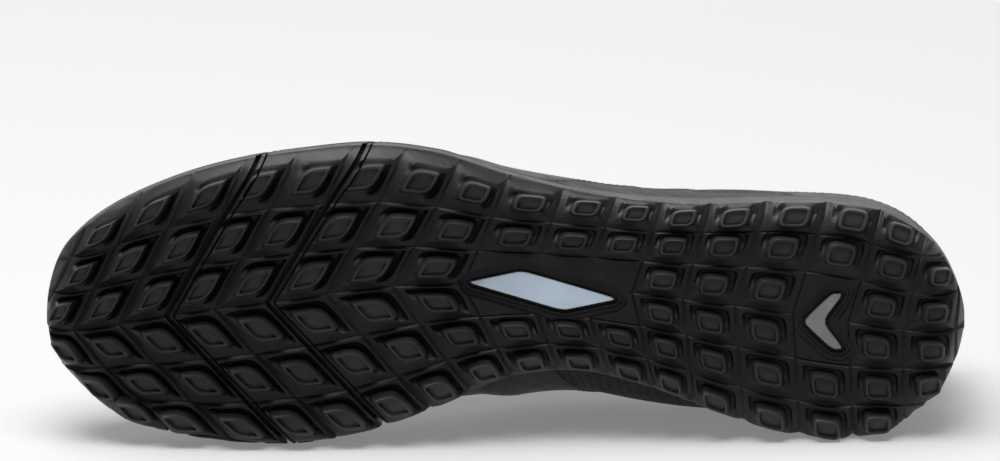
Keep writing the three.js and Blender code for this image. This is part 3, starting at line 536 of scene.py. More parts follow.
def bed_height(x):
    return tread_height(x) + read(SIDE_PROFILE, 2, x / LENGTH) * HEEL_THICKNESS


def shoulder_height(x):
    return tread_height(x) + SHOULDER_RISE


def lip_height(x):
    return bed_height(x) + read(SIDE_PROFILE, 3, x / LENGTH) * LIP_HEIGHT


def tread_surface(points):
    """The underside of the sole between its studs, at points in plan. It runs on steeply past the edge."""
    x, y = points[:, 0], points[:, 1]
    inner_share = smooth(-BALL_WIDTH / 4, BALL_WIDTH / 4, y)
    width = OUTER_SHOULDER_WIDTH + (INNER_SHOULDER_WIDTH - OUTER_SHOULDER_WIDTH) * inner_share
    depth = inset(points)
    t = 1 - np.clip(depth / width, 0, 1)
    z = tread_height(x) + SHOULDER_RISE * (1 - np.sqrt(1 - t * t)) + SKIRT_SLOPE * np.clip(-depth, 0, None)
    return np.column_stack((x, y, z))


def tread_normal(points):
    """The direction out of the tread at points in plan."""
    step = 1.5
    along = tread_surface(points + (step, 0)) - tread_surface(points - (step, 0))
    across = tread_surface(points + (0, step)) - tread_surface(points - (0, step))
    normal = np.cross(across, along)
    return normal / np.linalg.norm(normal, axis=1, keepdims=True)


def spine_point(x):
    """The point of the sole's middle line at a place along it, kept off the toe and the heel."""
    x = np.clip(x, SPINE_START * LENGTH, SPINE_END * LENGTH)
    rows = tuple((at, (inner - outer) / 2) for at, outer, inner in OUTLINE)
    return np.stack((x, read(rows, 1, x / LENGTH) * BALL_WIDTH), -1)


def middle_line(ring):
    """For each point of a ring round the sole, the sole's middle between it and the point across."""
    opposite = np.roll(ring[::-1], 1, axis=0)
    return spine_point((ring[:, 0] + opposite[:, 0]) / 2)


def shoe_axes():
    """The upright shoe's directions along the floor and up, as rows of the turn that lays it down."""
    up = np.array((
        -math.sin(HEEL_LEAN),
        -math.cos(HEEL_LEAN) * math.cos(SIDE_LEAN),
        -math.cos(HEEL_LEAN) * math.sin(SIDE_LEAN),
    ))
    heelwards = np.array((1.0, 0, 0)) - up[0] * up
    heelwards /= np.linalg.norm(heelwards)
    return np.array((heelwards, np.cross(up, heelwards), up))


def laid(points):
    """Points of the upright shoe, in millimetres, where the frame has them, in metres."""
    return np.asarray(points, float) @ shoe_axes().T / 1000 + np.array(ORIGIN)


def stood_up(points):
    """Points of the frame, in metres, back in the upright shoe, in millimetres."""
    return (np.asarray(points, float) - np.array(ORIGIN)) @ shoe_axes() * 1000


def deselect_all():
    if bpy.context.object and bpy.context.object.mode != "OBJECT":
        bpy.ops.object.mode_set(mode="OBJECT")
    bpy.ops.object.select_all(action="DESELECT")


def make_active(obj):
    deselect_all()
    obj.select_set(True)
    bpy.context.view_layer.objects.active = obj


def mesh_object(name, points, faces):
    """A new object from points of the upright shoe and faces, laid where the frame has it."""
    mesh = bpy.data.meshes.new(name)
    mesh.from_pydata(laid(points).tolist(), [], [tuple(f) for f in faces])
    mesh.update()
    obj = bpy.data.objects.new(name, mesh)
    bpy.context.scene.collection.objects.link(obj)
    return obj


def note(obj, name, values):
    """Gives a mesh one number for each of its points, which a material reads by its name."""
    layer = obj.data.attributes.new(name, "FLOAT", "POINT")
    layer.data.foreach_set("value", np.asarray(values).astype(np.float32))


def uv_map(obj, coordinates):
    """Gives a mesh a UV map from one place for each of its vertices, in metres over the surface."""
    layer = obj.data.uv_layers.new(name="surface")
    index = np.empty(len(obj.data.loops), np.int32)
    obj.data.loops.foreach_get("vertex_index", index)
    layer.data.foreach_set("uv", np.asarray(coordinates, np.float32)[index].ravel())


def clean(obj, merge=1e-5, recalculate=True):
    """Merges an object's doubles and points its faces outwards."""
    work = bmesh.new()
    work.from_mesh(obj.data)
    bmesh.ops.remove_doubles(work, verts=work.verts, dist=merge)
    bmesh.ops.dissolve_degenerate(work, edges=work.edges, dist=merge / 10)
    if recalculate:
        bmesh.ops.recalc_face_normals(work, faces=work.faces)
    work.to_mesh(obj.data)
    work.free()
    return obj


def grid_faces(rows, columns, closed=False, start=0):
    """Quads between the rows of a grid of points that is stored row by row."""
    wide = columns if closed else columns - 1
    return [
        (
            start + j * columns + i,
            start + j * columns + (i + 1) % columns,
            start + (j + 1) * columns + (i + 1) % columns,
            start + (j + 1) * columns + i,
        )
        for j in range(rows - 1)
        for i in range(wide)
    ]


def loft_object(name, rings, closed=True, capped=False):
    """An object from rings of equally many points."""
    size = len(rings[0])
    faces = grid_faces(len(rings), size, closed)
    if capped:
        faces.append(tuple(range(size))[::-1])
        faces.append(tuple(range((len(rings) - 1) * size, len(rings) * size)))
    return mesh_object(name, np.concatenate(rings), faces)


def boolean(obj, other, operation):
    """Cuts or keeps an object by another one, which is used up."""
    make_active(obj)
    modifier = obj.modifiers.new("cut", "BOOLEAN")
    modifier.operation = operation
    modifier.object = other
    modifier.solver = "MANIFOLD"
    bpy.ops.object.modifier_apply(modifier=modifier.name)
    bpy.data.objects.remove(other)
    if not obj.data.polygons:
        raise RuntimeError(f"nothing is left of {obj.name} after a {operation.lower()}")
    return obj


def shade(obj, angle=35):
    make_active(obj)
    bpy.ops.object.shade_smooth_by_angle(angle=math.radians(angle))
    return obj


def finish_piece(obj, slot, *nodes):
    """Puts a finished piece on the body and hides the imported parts that it stands for; the slot is not
    used.
    """
    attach(obj, "root")
    if nodes:
        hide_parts(*nodes)


def lattice_value(column_index, column):
    """A value of the stud lattice, which runs straight on past the table's ends."""
    keys = [row[0] for row in TREAD]
    value = read(TREAD, column_index, column)
    first = (TREAD[1][column_index] - TREAD[0][column_index]) / (keys[1] - keys[0])
    last = (TREAD[-1][column_index] - TREAD[-2][column_index]) / (keys[-1] - keys[-2])
    value = value + first * np.minimum(column - keys[0], 0)
    return value + last * np.maximum(column - keys[-1], 0)


def tread_place(column, row):
    """A place on the tread by column and row, both as any number, in plan."""
    column, row = np.asarray(column, float), np.asarray(row, float)
    off = row - MIDDLE_ROW
    outer = off < 0
    sweep = np.where(outer, lattice_value(2, column), lattice_value(3, column))
    pitch = np.where(outer, lattice_value(5, column), lattice_value(6, column))
    return np.stack((
        (lattice_value(1, column) + sweep * np.abs(off) / ARM_ROWS) * LENGTH,
        (lattice_value(4, column) + off * pitch) * BALL_WIDTH,
    ), -1)


def kept_inside(points, distance):
    """Brings places in plan in from the widest line, where they lie nearer than a distance."""
    step, most_steps = 0.4, 40
    kept = points.copy()
    for _ in range(most_steps):
        near = inset(kept) < distance
        if not near.any():
            break
        way = spine_point(kept[:, 0]) - kept
        way /= np.linalg.norm(way, axis=1, keepdims=True)
        kept[near] += step * way[near]
    return kept


def is_under_inlay(place):
    """Whether a stud would stand on one of the inlays."""
    x, y = place
    return any(
        abs(x - inlay["at"] * LENGTH) < inlay["clear_along"] * LENGTH
        and abs(y - inlay["across"] * BALL_WIDTH) < inlay["clear_across"] * BALL_WIDTH
        for inlay in (ARCH_INLAY, HEEL_INLAY)
    )


def tile_edge():
    """The points round a unit square, closer at its corners."""
    side = np.array(EDGE_STEPS)
    one = np.ones_like(side)
    return np.concatenate((
        np.stack((side, -one), -1),
        np.stack((one, side), -1),
        np.stack((-side, one), -1),
        np.stack((-one, -side), -1),
    ))


def rounded_square(edge, reach):
    """A unit square's points drawn in at its corners, where the two sides' sum then is the given reach."""
    power = 1 / (1 - np.log2(reach))
    size = (np.abs(edge) ** power[:, None]).sum(1) ** (1 / power)
    return edge / size[:, None]


class Lattice:
    """The tiles of the tread: which of them have a stud, and how far each is moved in from the edge."""

    def __init__(self):
        self.columns = np.arange(FIRST_COLUMN - 1, LAST_COLUMN + 2)
        self.rows = np.arange(0, STUD_ROWS + 2)
        shape = (len(self.columns), len(self.rows))
        column, row = (keys.ravel() for keys in np.meshgrid(self.columns, self.rows, indexing="ij"))
        wanted = tread_place(column, row)
        studs = (column >= FIRST_COLUMN) & (column <= LAST_COLUMN) & (row >= 1) & (row <= STUD_ROWS)
        studs &= inset(wanted) >= -STUD_INSET * STUD_OVERHANG
        studs &= ~np.array([is_under_inlay(place) for place in wanted])
        middles = np.where(studs[:, None], kept_inside(wanted, STUD_INSET), wanted)
        self.studs = studs.reshape(shape)
        self.middles = middles.reshape(*shape, 2)
        self.shifts = (middles - wanted).reshape(*shape, 2)

    def shift_at(self, column, row):
        """How far the tread is moved at a place, blended from the four tiles round it."""
        i = np.clip(column - self.columns[0], 0, len(self.columns) - 1.001)
        j = np.clip(row - self.rows[0], 0, len(self.rows) - 1.001)
        i0, j0 = i.astype(int), j.astype(int)
        u, v = (i - i0)[:, None], (j - j0)[:, None]
        low = self.shifts[i0, j0] * (1 - v) + self.shifts[i0, j0 + 1] * v
        high = self.shifts[i0 + 1, j0] * (1 - v) + self.shifts[i0 + 1, j0 + 1] * v
        return low * (1 - u) + high * u

    def touches_stud(self, column, row):
        """Whether any tile that meets at a place has a stud."""
        near = 0.01
        found = np.zeros(len(column), bool)
        for aside in (-near, near):
            for over in (-near, near):
                i = np.clip(np.round(column + aside).astype(int) - self.columns[0], 0, len(self.columns) - 1)
                j = np.clip(np.round(row + over).astype(int) - self.rows[0], 0, len(self.rows) - 1)
                found |= self.studs[i, j]
        return found


def tile_rings(lattice, i, j):
    """The rings of one tile: places in plan, heights over the tread, and how far each follows its surface."""
    column, row = lattice.columns[i], lattice.rows[j]
    edge = tile_edge()
    heelwards = float(smooth(*HEEL_FORM_COLUMNS, column))
    towards_pocket = (1 - POCKET_TURN * heelwards) * edge[:, 0] - edge[:, 1]
    pocket = smooth(-POCKET_SOFTNESS, POCKET_SOFTNESS, towards_pocket) * (1 - POCKET_LOSS * heelwards)
    arm = 1 if row > MIDDLE_ROW else -1
    is_blunt = np.abs(edge[:, 0] - arm * edge[:, 1]) > np.abs(edge[:, 0] + arm * edge[:, 1])
    for half_p, height_p, half_q, height_q, corner in TILE_RINGS:
        pointed = min(MOST_POINTED, corner + POINT_GAIN - POINT_LOSS * heelwards)
        blunt = min(MOST_POINTED, corner + BLUNT_GAIN * heelwards)
        half = half_p * pocket + half_q * (1 - pocket)
        ring = rounded_square(edge, np.where(is_blunt, blunt, pointed)) * half[:, None]
        at_column, at_row = column + ring[:, 0], row + ring[:, 1]
        blend = smooth(*SURFACE_BLEND, half)[:, None]
        own = lattice.shifts[i, j] * (1 - blend)
        plan = tread_place(at_column, at_row) + own + lattice.shift_at(at_column, at_row) * blend
        height = height_p * pocket + height_q * (1 - pocket)
        if not lattice.studs[i, j]:
            on_border = lattice.touches_stud(at_column, at_row) & (half_p == TILE_HALF)
            height = np.where(on_border, height, FLAT_TILE_HEIGHT)
        if half_p > STUD_HALF:
            marked = smooth(*BORDER_ROWS, at_row)
            height = height * marked + FLAT_TILE_HEIGHT * (1 - marked)
        yield plan, height, blend


def tread_relief():
    """The whole relief of the tread as a slab, which is later trimmed to the sole."""
    lattice = Lattice()
    size = 4 * len(EDGE_STEPS)
    plan, heights, blends, middles, faces = [], [], [], [], []
    for i, j in np.ndindex(lattice.studs.shape):
        first = size * len(plan)
        last = first + size * (len(TILE_RINGS) - 1)
        for places, height, blend in tile_rings(lattice, i, j):
            plan.append(places)
            heights.append(height)
            blends.append(blend)
            middles.append(np.repeat(lattice.middles[i, j][None], size, 0))
        faces += [face[::-1] for face in grid_faces(len(TILE_RINGS), size, True, first)]
        faces.append(tuple(range(last, last + size))[::-1])
    plan, heights, blends, middles = (np.concatenate(rings) for rings in (plan, heights, blends, middles))
    surface = tread_surface(plan) + tread_normal(plan) * heights[:, None]
    foot, out = tread_surface(middles), STUD_SQUARE * tread_normal(middles) + (0, 0, -STUD_UPRIGHT)
    out /= np.linalg.norm(out, axis=1, keepdims=True)
    corner = np.column_stack((plan, foot[:, 2])) - foot
    corner -= out * (corner * out).sum(1, keepdims=True)
    rigid = foot + corner + out * heights[:, None]
    return close_slab(rigid * (1 - blends) + surface * blends, faces)


def close_slab(points, faces):
    """Closes the relief to a slab by a flat back far above it."""
    obj = mesh_object("outsole", points, faces)
    clean(obj, merge=2e-5, recalculate=False)
    work = bmesh.new()
    work.from_mesh(obj.data)
    rim = [e for e in work.edges if e.is_boundary]
    made = bmesh.ops.extrude_edge_only(work, edges=rim)["geom"]
    back = [g for g in made if isinstance(g, bmesh.types.BMVert)]
    height = Vector(laid([(0, 0, SLAB_TOP)])[0] - laid([(0, 0, 0)])[0])
    base = Vector(laid([(0, 0, 0)])[0])
    up = height.normalized()
    for v in back:
        v.co += up * (height.length - (v.co - base).dot(up))
    top_edges = [g for g in made if isinstance(g, bmesh.types.BMEdge)]
    bmesh.ops.contextual_create(work, geom=top_edges)
    bmesh.ops.recalc_face_normals(work, faces=work.faces)
    work.to_mesh(obj.data)
    work.free()
    return obj


def cup_ring(shares, out, height):
    """A closed ring round the sole, stood out from the widest line, at a height that depends on x."""
    points = []
    for side, along in ((OUTER, shares), (INNER, shares[1:-1][::-1])):
        p = side_point(along, side)
        q = p + side_out(along, side) * out
        points.append(np.column_stack((q, height(p[:, 0]))))
    return np.concatenate(points)


def cup():
    """The cup sole's outside down past the studs, its lip and its footbed, as one closed body."""
    shares = np.linspace(0, 1, 181)
    spine = middle_line(cup_ring(shares, 0, shoulder_height))
    radius = LIP_THICKNESS / 2

    def bottom(x):
        return np.full_like(x, CUP_BOTTOM)

    def inward(share, height, start=0.0):
        q = cup_ring(shares, -start, shoulder_height)[:, :2] * (1 - share) + spine * share
        return np.column_stack((q, height(q[:, 0])))

    rings = [inward(1, bottom), cup_ring(shares, 0, bottom)]
    for share, out in WALL_ROWS:
        rings.append(cup_ring(
            shares, out * LIP_LEAN, lambda x: shoulder_height(x) * (1 - share) + lip_height(x) * share,
        ))
    for turn in LIP_TURNS:
        angle = math.radians(turn)
        rings.append(cup_ring(
            shares,
            -LIP_LEAN - radius + radius * math.cos(angle),
            lambda x: lip_height(x) - LIP_ROUNDING * radius * (1 - math.sin(angle)),
        ))
    rings += [inward(share, bed_height, LIP_LEAN + LIP_THICKNESS) for share in (0, 0.4, 1)]
    return clean(loft_object("cup", rings))


def flex_cutter(column, offset, width, depth):
    """A cutter for a flex groove, which follows a column line over the tread and up both sides."""
    rows = np.linspace(*FLEX_ENDS, 120)
    plan = tread_place(np.full_like(rows, column), rows)
    plan[:, 0] += FLEX_SWEEP * np.maximum(0, MIDDLE_ROW - rows) / ARM_ROWS + offset
    plan[:, 0] += FLEX_BEND * (np.clip(FLEX_BEND_FROM - rows, 0, FLEX_BEND_ROWS) / FLEX_BEND_ROWS) ** 2
    surface = tread_surface(plan)[:, 2]
    wall_depth = 0.5 * depth
    inside = smooth(wall_depth, wall_depth + FLEX_SIDE_FADE, inset(plan))
    floor = (lip_height(plan[:, 0]) + FLEX_OVERRUN) * (1 - inside) + (surface + depth) * inside
    low = np.full_like(floor, CUP_BOTTOM - 5)
    edge = np.minimum(floor - 0.1, shoulder_height(plan[:, 0]))
    lean = FLEX_LEAN * (floor - edge) * (rows < MIDDLE_ROW)
    left, right = plan[:, 0] - width / 2, plan[:, 0] + width / 2
    corners = (
        (left, low), (right, low), (right, edge), (right + lean, floor), (left + lean, floor), (left, edge),
    )
    rings = np.stack([np.column_stack((x, plan[:, 1], z)) for x, z in corners], 1)
    return clean(loft_object("groove", list(rings), True, True))


def rounded(corners, share, points):
    """A plan with each corner rounded over a share of the sides that meet there."""
    plan = []
    for corner, before, after in zip(corners, np.roll(corners, 1, axis=0), np.roll(corners, -1, axis=0)):
        a = corner + (before - corner) * share
        b = corner + (after - corner) * share
        for t in np.linspace(0, 1, points):
            plan.append((a + (corner - a) * t) * (1 - t) + (corner + (b - corner) * t) * t)
    return np.array(plan)


def lozenge_plan():
    """The plan of the long lozenge inlay, with rounded corners."""
    half = ARCH_INLAY["length"] * LENGTH / 2
    wide = ARCH_INLAY["width"] * BALL_WIDTH / 2
    turn = math.radians(ARCH_INLAY["turn"])
    skew = ARCH_INLAY["skew"]
    tips = np.array(((-1, 0), (-skew, -1), (1, 0), (skew, 1)), float)
    x, y = rounded(tips, 0.11, 7).T * ((half,), (wide,))
    return np.stack((
        ARCH_INLAY["at"] * LENGTH + x * math.cos(turn) - y * math.sin(turn),
        ARCH_INLAY["across"] * BALL_WIDTH + x * math.sin(turn) + y * math.cos(turn),
    ), -1)


def arrowhead_plan():
    """The plan of the arrowhead window at the heel, which points to the toe."""
    reach = HEEL_INLAY["reach"] * BALL_WIDTH
    sweep = HEEL_INLAY["sweep"] * LENGTH
    half = HEEL_INLAY["width"] * BALL_WIDTH / 2
    blunt, end = half * HEEL_INLAY["nose"], half * HEEL_INLAY["end"]
    local = np.array((
        (-half, blunt),
        (-half, -blunt),
        (sweep - end, -reach),
        (sweep + end, -reach),
        (half, 0),
        (sweep + end, reach),
        (sweep - end, reach),
    ))
    middle = (HEEL_INLAY["at"] * LENGTH - sweep / 2, HEEL_INLAY["across"] * BALL_WIDTH)
    return rounded(local, 0.28, 4) + middle


def grown(plan, margin):
    """A plan with its points counter-clockwise, grown by a margin on all sides."""
    before, after = np.roll(plan, 1, axis=0), np.roll(plan, -1, axis=0)

    def side_normal(a, b):
        n = np.stack((b[:, 1] - a[:, 1], a[:, 0] - b[:, 0]), -1)
        return n / np.maximum(np.linalg.norm(n, axis=1, keepdims=True), 1e-9)

    a, b = side_normal(before, plan), side_normal(plan, after)
    return plan + (a + b) * margin / (1 + (a * b).sum(1, keepdims=True))


def prism(name, plan, low, high):
    """An upright prism over a plan."""
    rings = [np.column_stack((plan, np.full(len(plan), z))) for z in (low, high)]
    return clean(loft_object(name, rings, True, True))


def recess_floor(plan):
    return tread_height(plan[:, 0]).max() + POCKET_DEPTH


def outsole_shape(groove_width, groove_depth):
    """The whole sole: the relief trimmed to the cup, with its grooves and recesses cut."""
    sole = boolean(tread_relief(), cup(), "INTERSECT")
    for column in FLEX_COLUMNS:
        main = flex_cutter(column, 0, groove_width, groove_depth)
        sole = boolean(sole, main, "DIFFERENCE")
        second = flex_cutter(column, SECOND_GROOVE["offset"], SECOND_GROOVE["width"], groove_depth / 2)
        sole = boolean(sole, second, "DIFFERENCE")
    for plan in (lozenge_plan(), arrowhead_plan()):
        floor = recess_floor(plan)
        for margin, share in RECESS_STEPS:
            high = floor - POCKET_DEPTH * (1 - share)
            sole = boolean(sole, prism("recess", grown(plan, margin), CUP_BOTTOM, high), "DIFFERENCE")
    return mark_relief_for_shading(clean(sole, merge=2e-6))


def mark_relief_for_shading(sole):
    """Notes how far the sole's points stand out of its valleys: 1 on studs and wall, more on edge studs. The
    rubber paints shade into the low values and a highlight on the highest.
    """
    places = np.empty(3 * len(sole.data.vertices), np.float32)
    sole.data.vertices.foreach_get("co", places)
    points = stood_up(places.reshape(-1, 3))
    plan = points[:, :2]
    height = ((points - tread_surface(plan)) * tread_normal(plan)).sum(1)
    on_studs = smooth(*STUD_FLANK, height)
    on_wall = 1 - smooth(*WALL_FADE, inset(plan))
    note(sole, "relief", np.maximum(on_studs, on_wall) + EDGE_STUD_HIGHLIGHT * on_studs * on_wall)
    return sole


def section(name, share):
    return read(SECTIONS, SECTION_COLUMNS[name], share)


def top_point(share, side):
    """A point on the upper's top edge, where the two sides meet ahead of the throat."""
    share = np.asarray(share, float)
    gap = np.where(share <= THROAT_SIDE + THROAT_MARGIN, 0, section("gap", share))
    return np.stack((
        section("top", share) * LENGTH,
        (section("middle", share) + side * gap) * BALL_WIDTH,
        section("instep", share) * INSTEP_HEIGHT + section("heel", share) * HEEL_HEIGHT,
    ), -1)


def upper_point(share, side, height):
    """A point on the outside of the upper, which rises straight inside the lip and arches over the foot."""
    share, height = np.broadcast_arrays(np.asarray(share, float), np.asarray(height, float))
    base, out = side_point(share, side), side_out(share, side)
    foot = np.concatenate((base - out * UPPER_INSET, lip_height(base[..., 0])[..., None]), -1)
    top = top_point(share, side)
    arc = np.radians(section("arc", share))
    inwards = (1 - np.cos(height * arc)) / (1 - np.cos(arc))
    upwards = np.sin(height * arc) / np.sin(arc)
    belly = section("inner" if side == INNER else "outer", share) * BALL_WIDTH
    p = foot + (top - foot) * inwards[..., None]
    p[..., 2] = foot[..., 2] + (top[..., 2] - foot[..., 2]) * upwards
    bulge = belly * np.sin(math.pi * np.clip(height, 0, 1) ** BELLY_SKEW)
    p[..., :2] += out * bulge[..., None]
    return p


def upper_place(share, side, height):
    """Points on the outside of the upper with their normals."""
    step = 0.02
    here = upper_point(share, side, height)
    up = here - upper_point(share, side, np.asarray(height) - step)
    ahead, behind = np.clip(np.asarray(share) + step, 0, 1), np.clip(np.asarray(share) - step, 0, 1)
    along = upper_point(ahead, side, height) - upper_point(behind, side, height)
    normal = np.cross(along, up) * -side
    return here, normal / np.linalg.norm(normal, axis=-1, keepdims=True)


def panel_reach(share, height):
    """How far a place lies inside the sewn-on panels, in millimetres, negative outside them."""
    toe_cap = (TOE_CAP["end"] + TOE_CAP["arch"] * height ** 2 - share) * SIDE_LENGTH
    stay = np.minimum((height - EYESTAY["low"]) * PROFILE_LENGTH, (share - EYESTAY["start"]) * SIDE_LENGTH)
    stay = np.minimum(stay, (EYESTAY["end"] - share) * SIDE_LENGTH)
    counter = np.minimum(
        (share - COUNTER["start"] + COUNTER["lean"] * height) * SIDE_LENGTH,
        (COUNTER["high"] - height) * PROFILE_LENGTH,
    )
    saddle = np.minimum(
        (share - SADDLE["start"] - SADDLE["start_lean"] * height) * SIDE_LENGTH,
        (SADDLE["end"] + SADDLE["end_lean"] * height - share) * SIDE_LENGTH,
    )
    return np.maximum(np.maximum(toe_cap, stay), np.maximum(counter, saddle))


def collar_relief(share, height):
    """The padded roll round the collar, with the valley of the seam under it."""
    padded = smooth(0.6, 0.7, share)
    roll = smooth(0.72, 0.88, height) * (1 - 0.5 * smooth(0.93, 1.0, height))
    valley = np.exp(-((height - 0.70) / 0.02) ** 2)
    return padded * (0.5 * roll - valley - 0.2)


def crease_relief(share, side, height):
    """The creases across the vamp, each a wavy trough with a softer ridge behind it."""
    relief = np.zeros_like(share)
    sway = 0.018 if side == OUTER else 0.7 * 0.018
    for at, low, high, width, depth in CREASES:
        line = at + sway * np.sin(9 * height + 40 * at)
        reach = smooth(low, low + 0.15, height) * (1 - smooth(high - 0.08, high + 0.08, height))
        trough = np.exp(-((share - line) / width) ** 2)
        ridge = np.exp(-((share - line - 2.2 * width) / (1.5 * width)) ** 2)
        relief = relief + depth * (0.45 * ridge - trough) * reach
    return relief


def upper_relief(share, side, height):
    """How far the skin stands out from the plain upper, in millimetres."""
    panels = PANEL_THICKNESS * smooth(-PANEL_BEVEL, PANEL_BEVEL, panel_reach(share, height))
    swell = np.sin(31 * share + 5 * height) * np.sin(7 * height + 13 * share + side)
    swell = 0.2 * swell * np.sin(math.pi * np.clip(height, 0, 1))
    relief = panels + collar_relief(share, height) + crease_relief(share, side, height) + swell
    return relief * smooth(0, 0.05, height)


def wall_thickness(share, height):
    """The thickness of the upper, which grows towards the padded collar."""
    level = ((WALL_LEVELS - 1) * height + 1) / WALL_LEVELS
    behind_lacing = smooth(LACING_TOP_SIDE, COLLAR["full_side"], share)
    return UPPER_WALL + COLLAR_PADDING * behind_lacing * smooth(COLLAR["low"], COLLAR["high"], level)


def upper_sheet(side, shares, heights):
    """The outer points and normals of one side of the upper, as a grid of heights by shares."""
    s, h = np.meshgrid(shares, heights)
    points, _ = upper_place(s, side, h)
    along = np.gradient(points, axis=1)
    up = np.gradient(points, axis=0)
    normals = np.cross(along, up) * -side
    normals /= np.maximum(np.linalg.norm(normals, axis=-1, keepdims=True), 1e-9)
    return points, normals


def join_normals(sheets, throat):
    """Gives the two sides the same normals where they meet: at the toe, the heel and ahead of the throat."""
    outer, inner = sheets[OUTER][1], sheets[INNER][1]
    for seam in ((slice(None), 0), (slice(None), -1), (-1, slice(0, throat + 1))):
        mean = outer[seam] + inner[seam]
        mean /= np.linalg.norm(mean, axis=-1, keepdims=True)
        outer[seam] = inner[seam] = mean


def shell_rows(side, shares, heights, sheet, throat):
    """The rows of one side of the shell: from the footbed up the skin, over the rim and down the lining."""
    skin, normals = sheet
    s, h = np.meshgrid(shares, heights)
    thick = wall_thickness(s, h)[..., None]
    level = normals.copy()
    level[0, :, 2] = 0
    level[0] /= np.linalg.norm(level[0], axis=-1, keepdims=True)
    lining = skin - level * thick
    relief, shared = upper_relief(s, side, h), upper_relief(s, OUTER, h)
    relief[:, 0] = relief[:, -1] = shared[:, 0]
    relief[-1, : throat + 1] = shared[-1, : throat + 1]
    outside = skin + normals * relief[..., None]
    edge = side_point(shares, side)
    bed = edge - side_out(shares, side) * UPPER_INSET
    bottom = np.column_stack((bed, bed_height(edge[:, 0]) + CLEARANCE))
    rise = skin[-1] - skin[-2]
    rise /= np.linalg.norm(rise, axis=-1, keepdims=True)
    middle, half = (outside[-1] + lining[-1]) / 2, (outside[-1] - lining[-1]) / 2
    radius = np.linalg.norm(half, axis=-1, keepdims=True)
    rim = [
        middle + half * math.cos(a) + rise * radius * RIM_ROUNDING * math.sin(a)
        for a in np.linspace(0, math.pi, RIM_STEPS + 2)[1:-1]
    ]
    return [bottom, *outside, *rim, *lining[::-1], bottom - level[0] * thick[0], bottom]


def shell_faces(side, first, row_count, wide, throat):
    """The faces of one side of the shell, each with its material: 0 on the skin, 1 on the lining."""
    rim = 1 + HEIGHT_STEPS
    for j, i in np.ndindex(row_count - 1, wide - 1):
        if rim <= j <= rim + RIM_STEPS and i < throat:
            continue
        low, high = first + j * wide + i, first + (j + 1) * wide + i
        quad = (low, low + 1, high + 1, high)
        yield quad if side == INNER else quad[::-1], int(j >= rim + RIM_STEPS // 2)


def shell_uvs(side, rows):
    """Places over the surface in metres: the way round the side, and the way up over the rows."""
    around = np.linspace(0, REACHES[side][-1], len(rows[0])) / 1000
    steps = [np.linalg.norm(b - a, axis=1).mean() for a, b in zip(rows[:-1], rows[1:])]
    climb = np.concatenate(([0], np.cumsum(steps))) / 1000
    return [np.column_stack((around * side, np.full(len(around), c))) for c in climb]


def upper_shape():
    """The upper as one closed shell: skin, rolled rim and lining."""
    shares = np.linspace(0, 1, SHARE_STEPS + 1)
    heights = np.linspace(0, 1, HEIGHT_STEPS + 1)
    throat = int(round(THROAT_SIDE * SHARE_STEPS))
    sheets = {side: upper_sheet(side, shares, heights) for side in (OUTER, INNER)}
    join_normals(sheets, throat)
    on_panels = panel_reach(*np.meshgrid(shares, heights))
    points, faces, slots, uvs, reaches = [], [], [], [], []
    for side, sheet in sheets.items():
        rows = shell_rows(side, shares, heights, sheet, throat)
        first = len(points) * len(shares)
        for face, slot in shell_faces(side, first, len(rows), len(shares), throat):
            faces.append(face)
            slots.append(slot)
        points += rows
        uvs += shell_uvs(side, rows)
        reaches += [on_panels[0], *on_panels, *[on_panels[-1]] * (len(rows) - len(on_panels) - 1)]
    obj = mesh_object("upper_shell", np.concatenate(points), faces)
    obj.data.polygons.foreach_set("material_index", slots)
    uv_map(obj, np.concatenate(uvs))
    note(obj, "panel", np.concatenate(reaches))
    return clean(obj, merge=3e-5)


def crown_point(a, b, t):
    """A point over the gap between the two edges of the opening, at a share of the way across."""
    p = a + (b - a) * t
    p[2] += CROWN * np.linalg.norm(b - a) * 4 * t * (1 - t)
    return p


def tongue_section(share, drop):
    """The cross-section of the tongue under the upper, from one side over the gap to the other."""
    heights = np.linspace(TONGUE_LOW, EDGE_HEIGHT, 7)
    flanks = {}
    for side in (OUTER, INNER):
        p, n = upper_place(np.full_like(heights, share), side, heights)
        flanks[side] = p - n * drop
    a, b = top_point(share, OUTER), top_point(share, INNER)
    crown = [crown_point(a, b, t) - (0, 0, drop) for t in np.linspace(0.2, 0.8, 9)]
    return np.concatenate((flanks[OUTER], crown, flanks[INNER][::-1]))


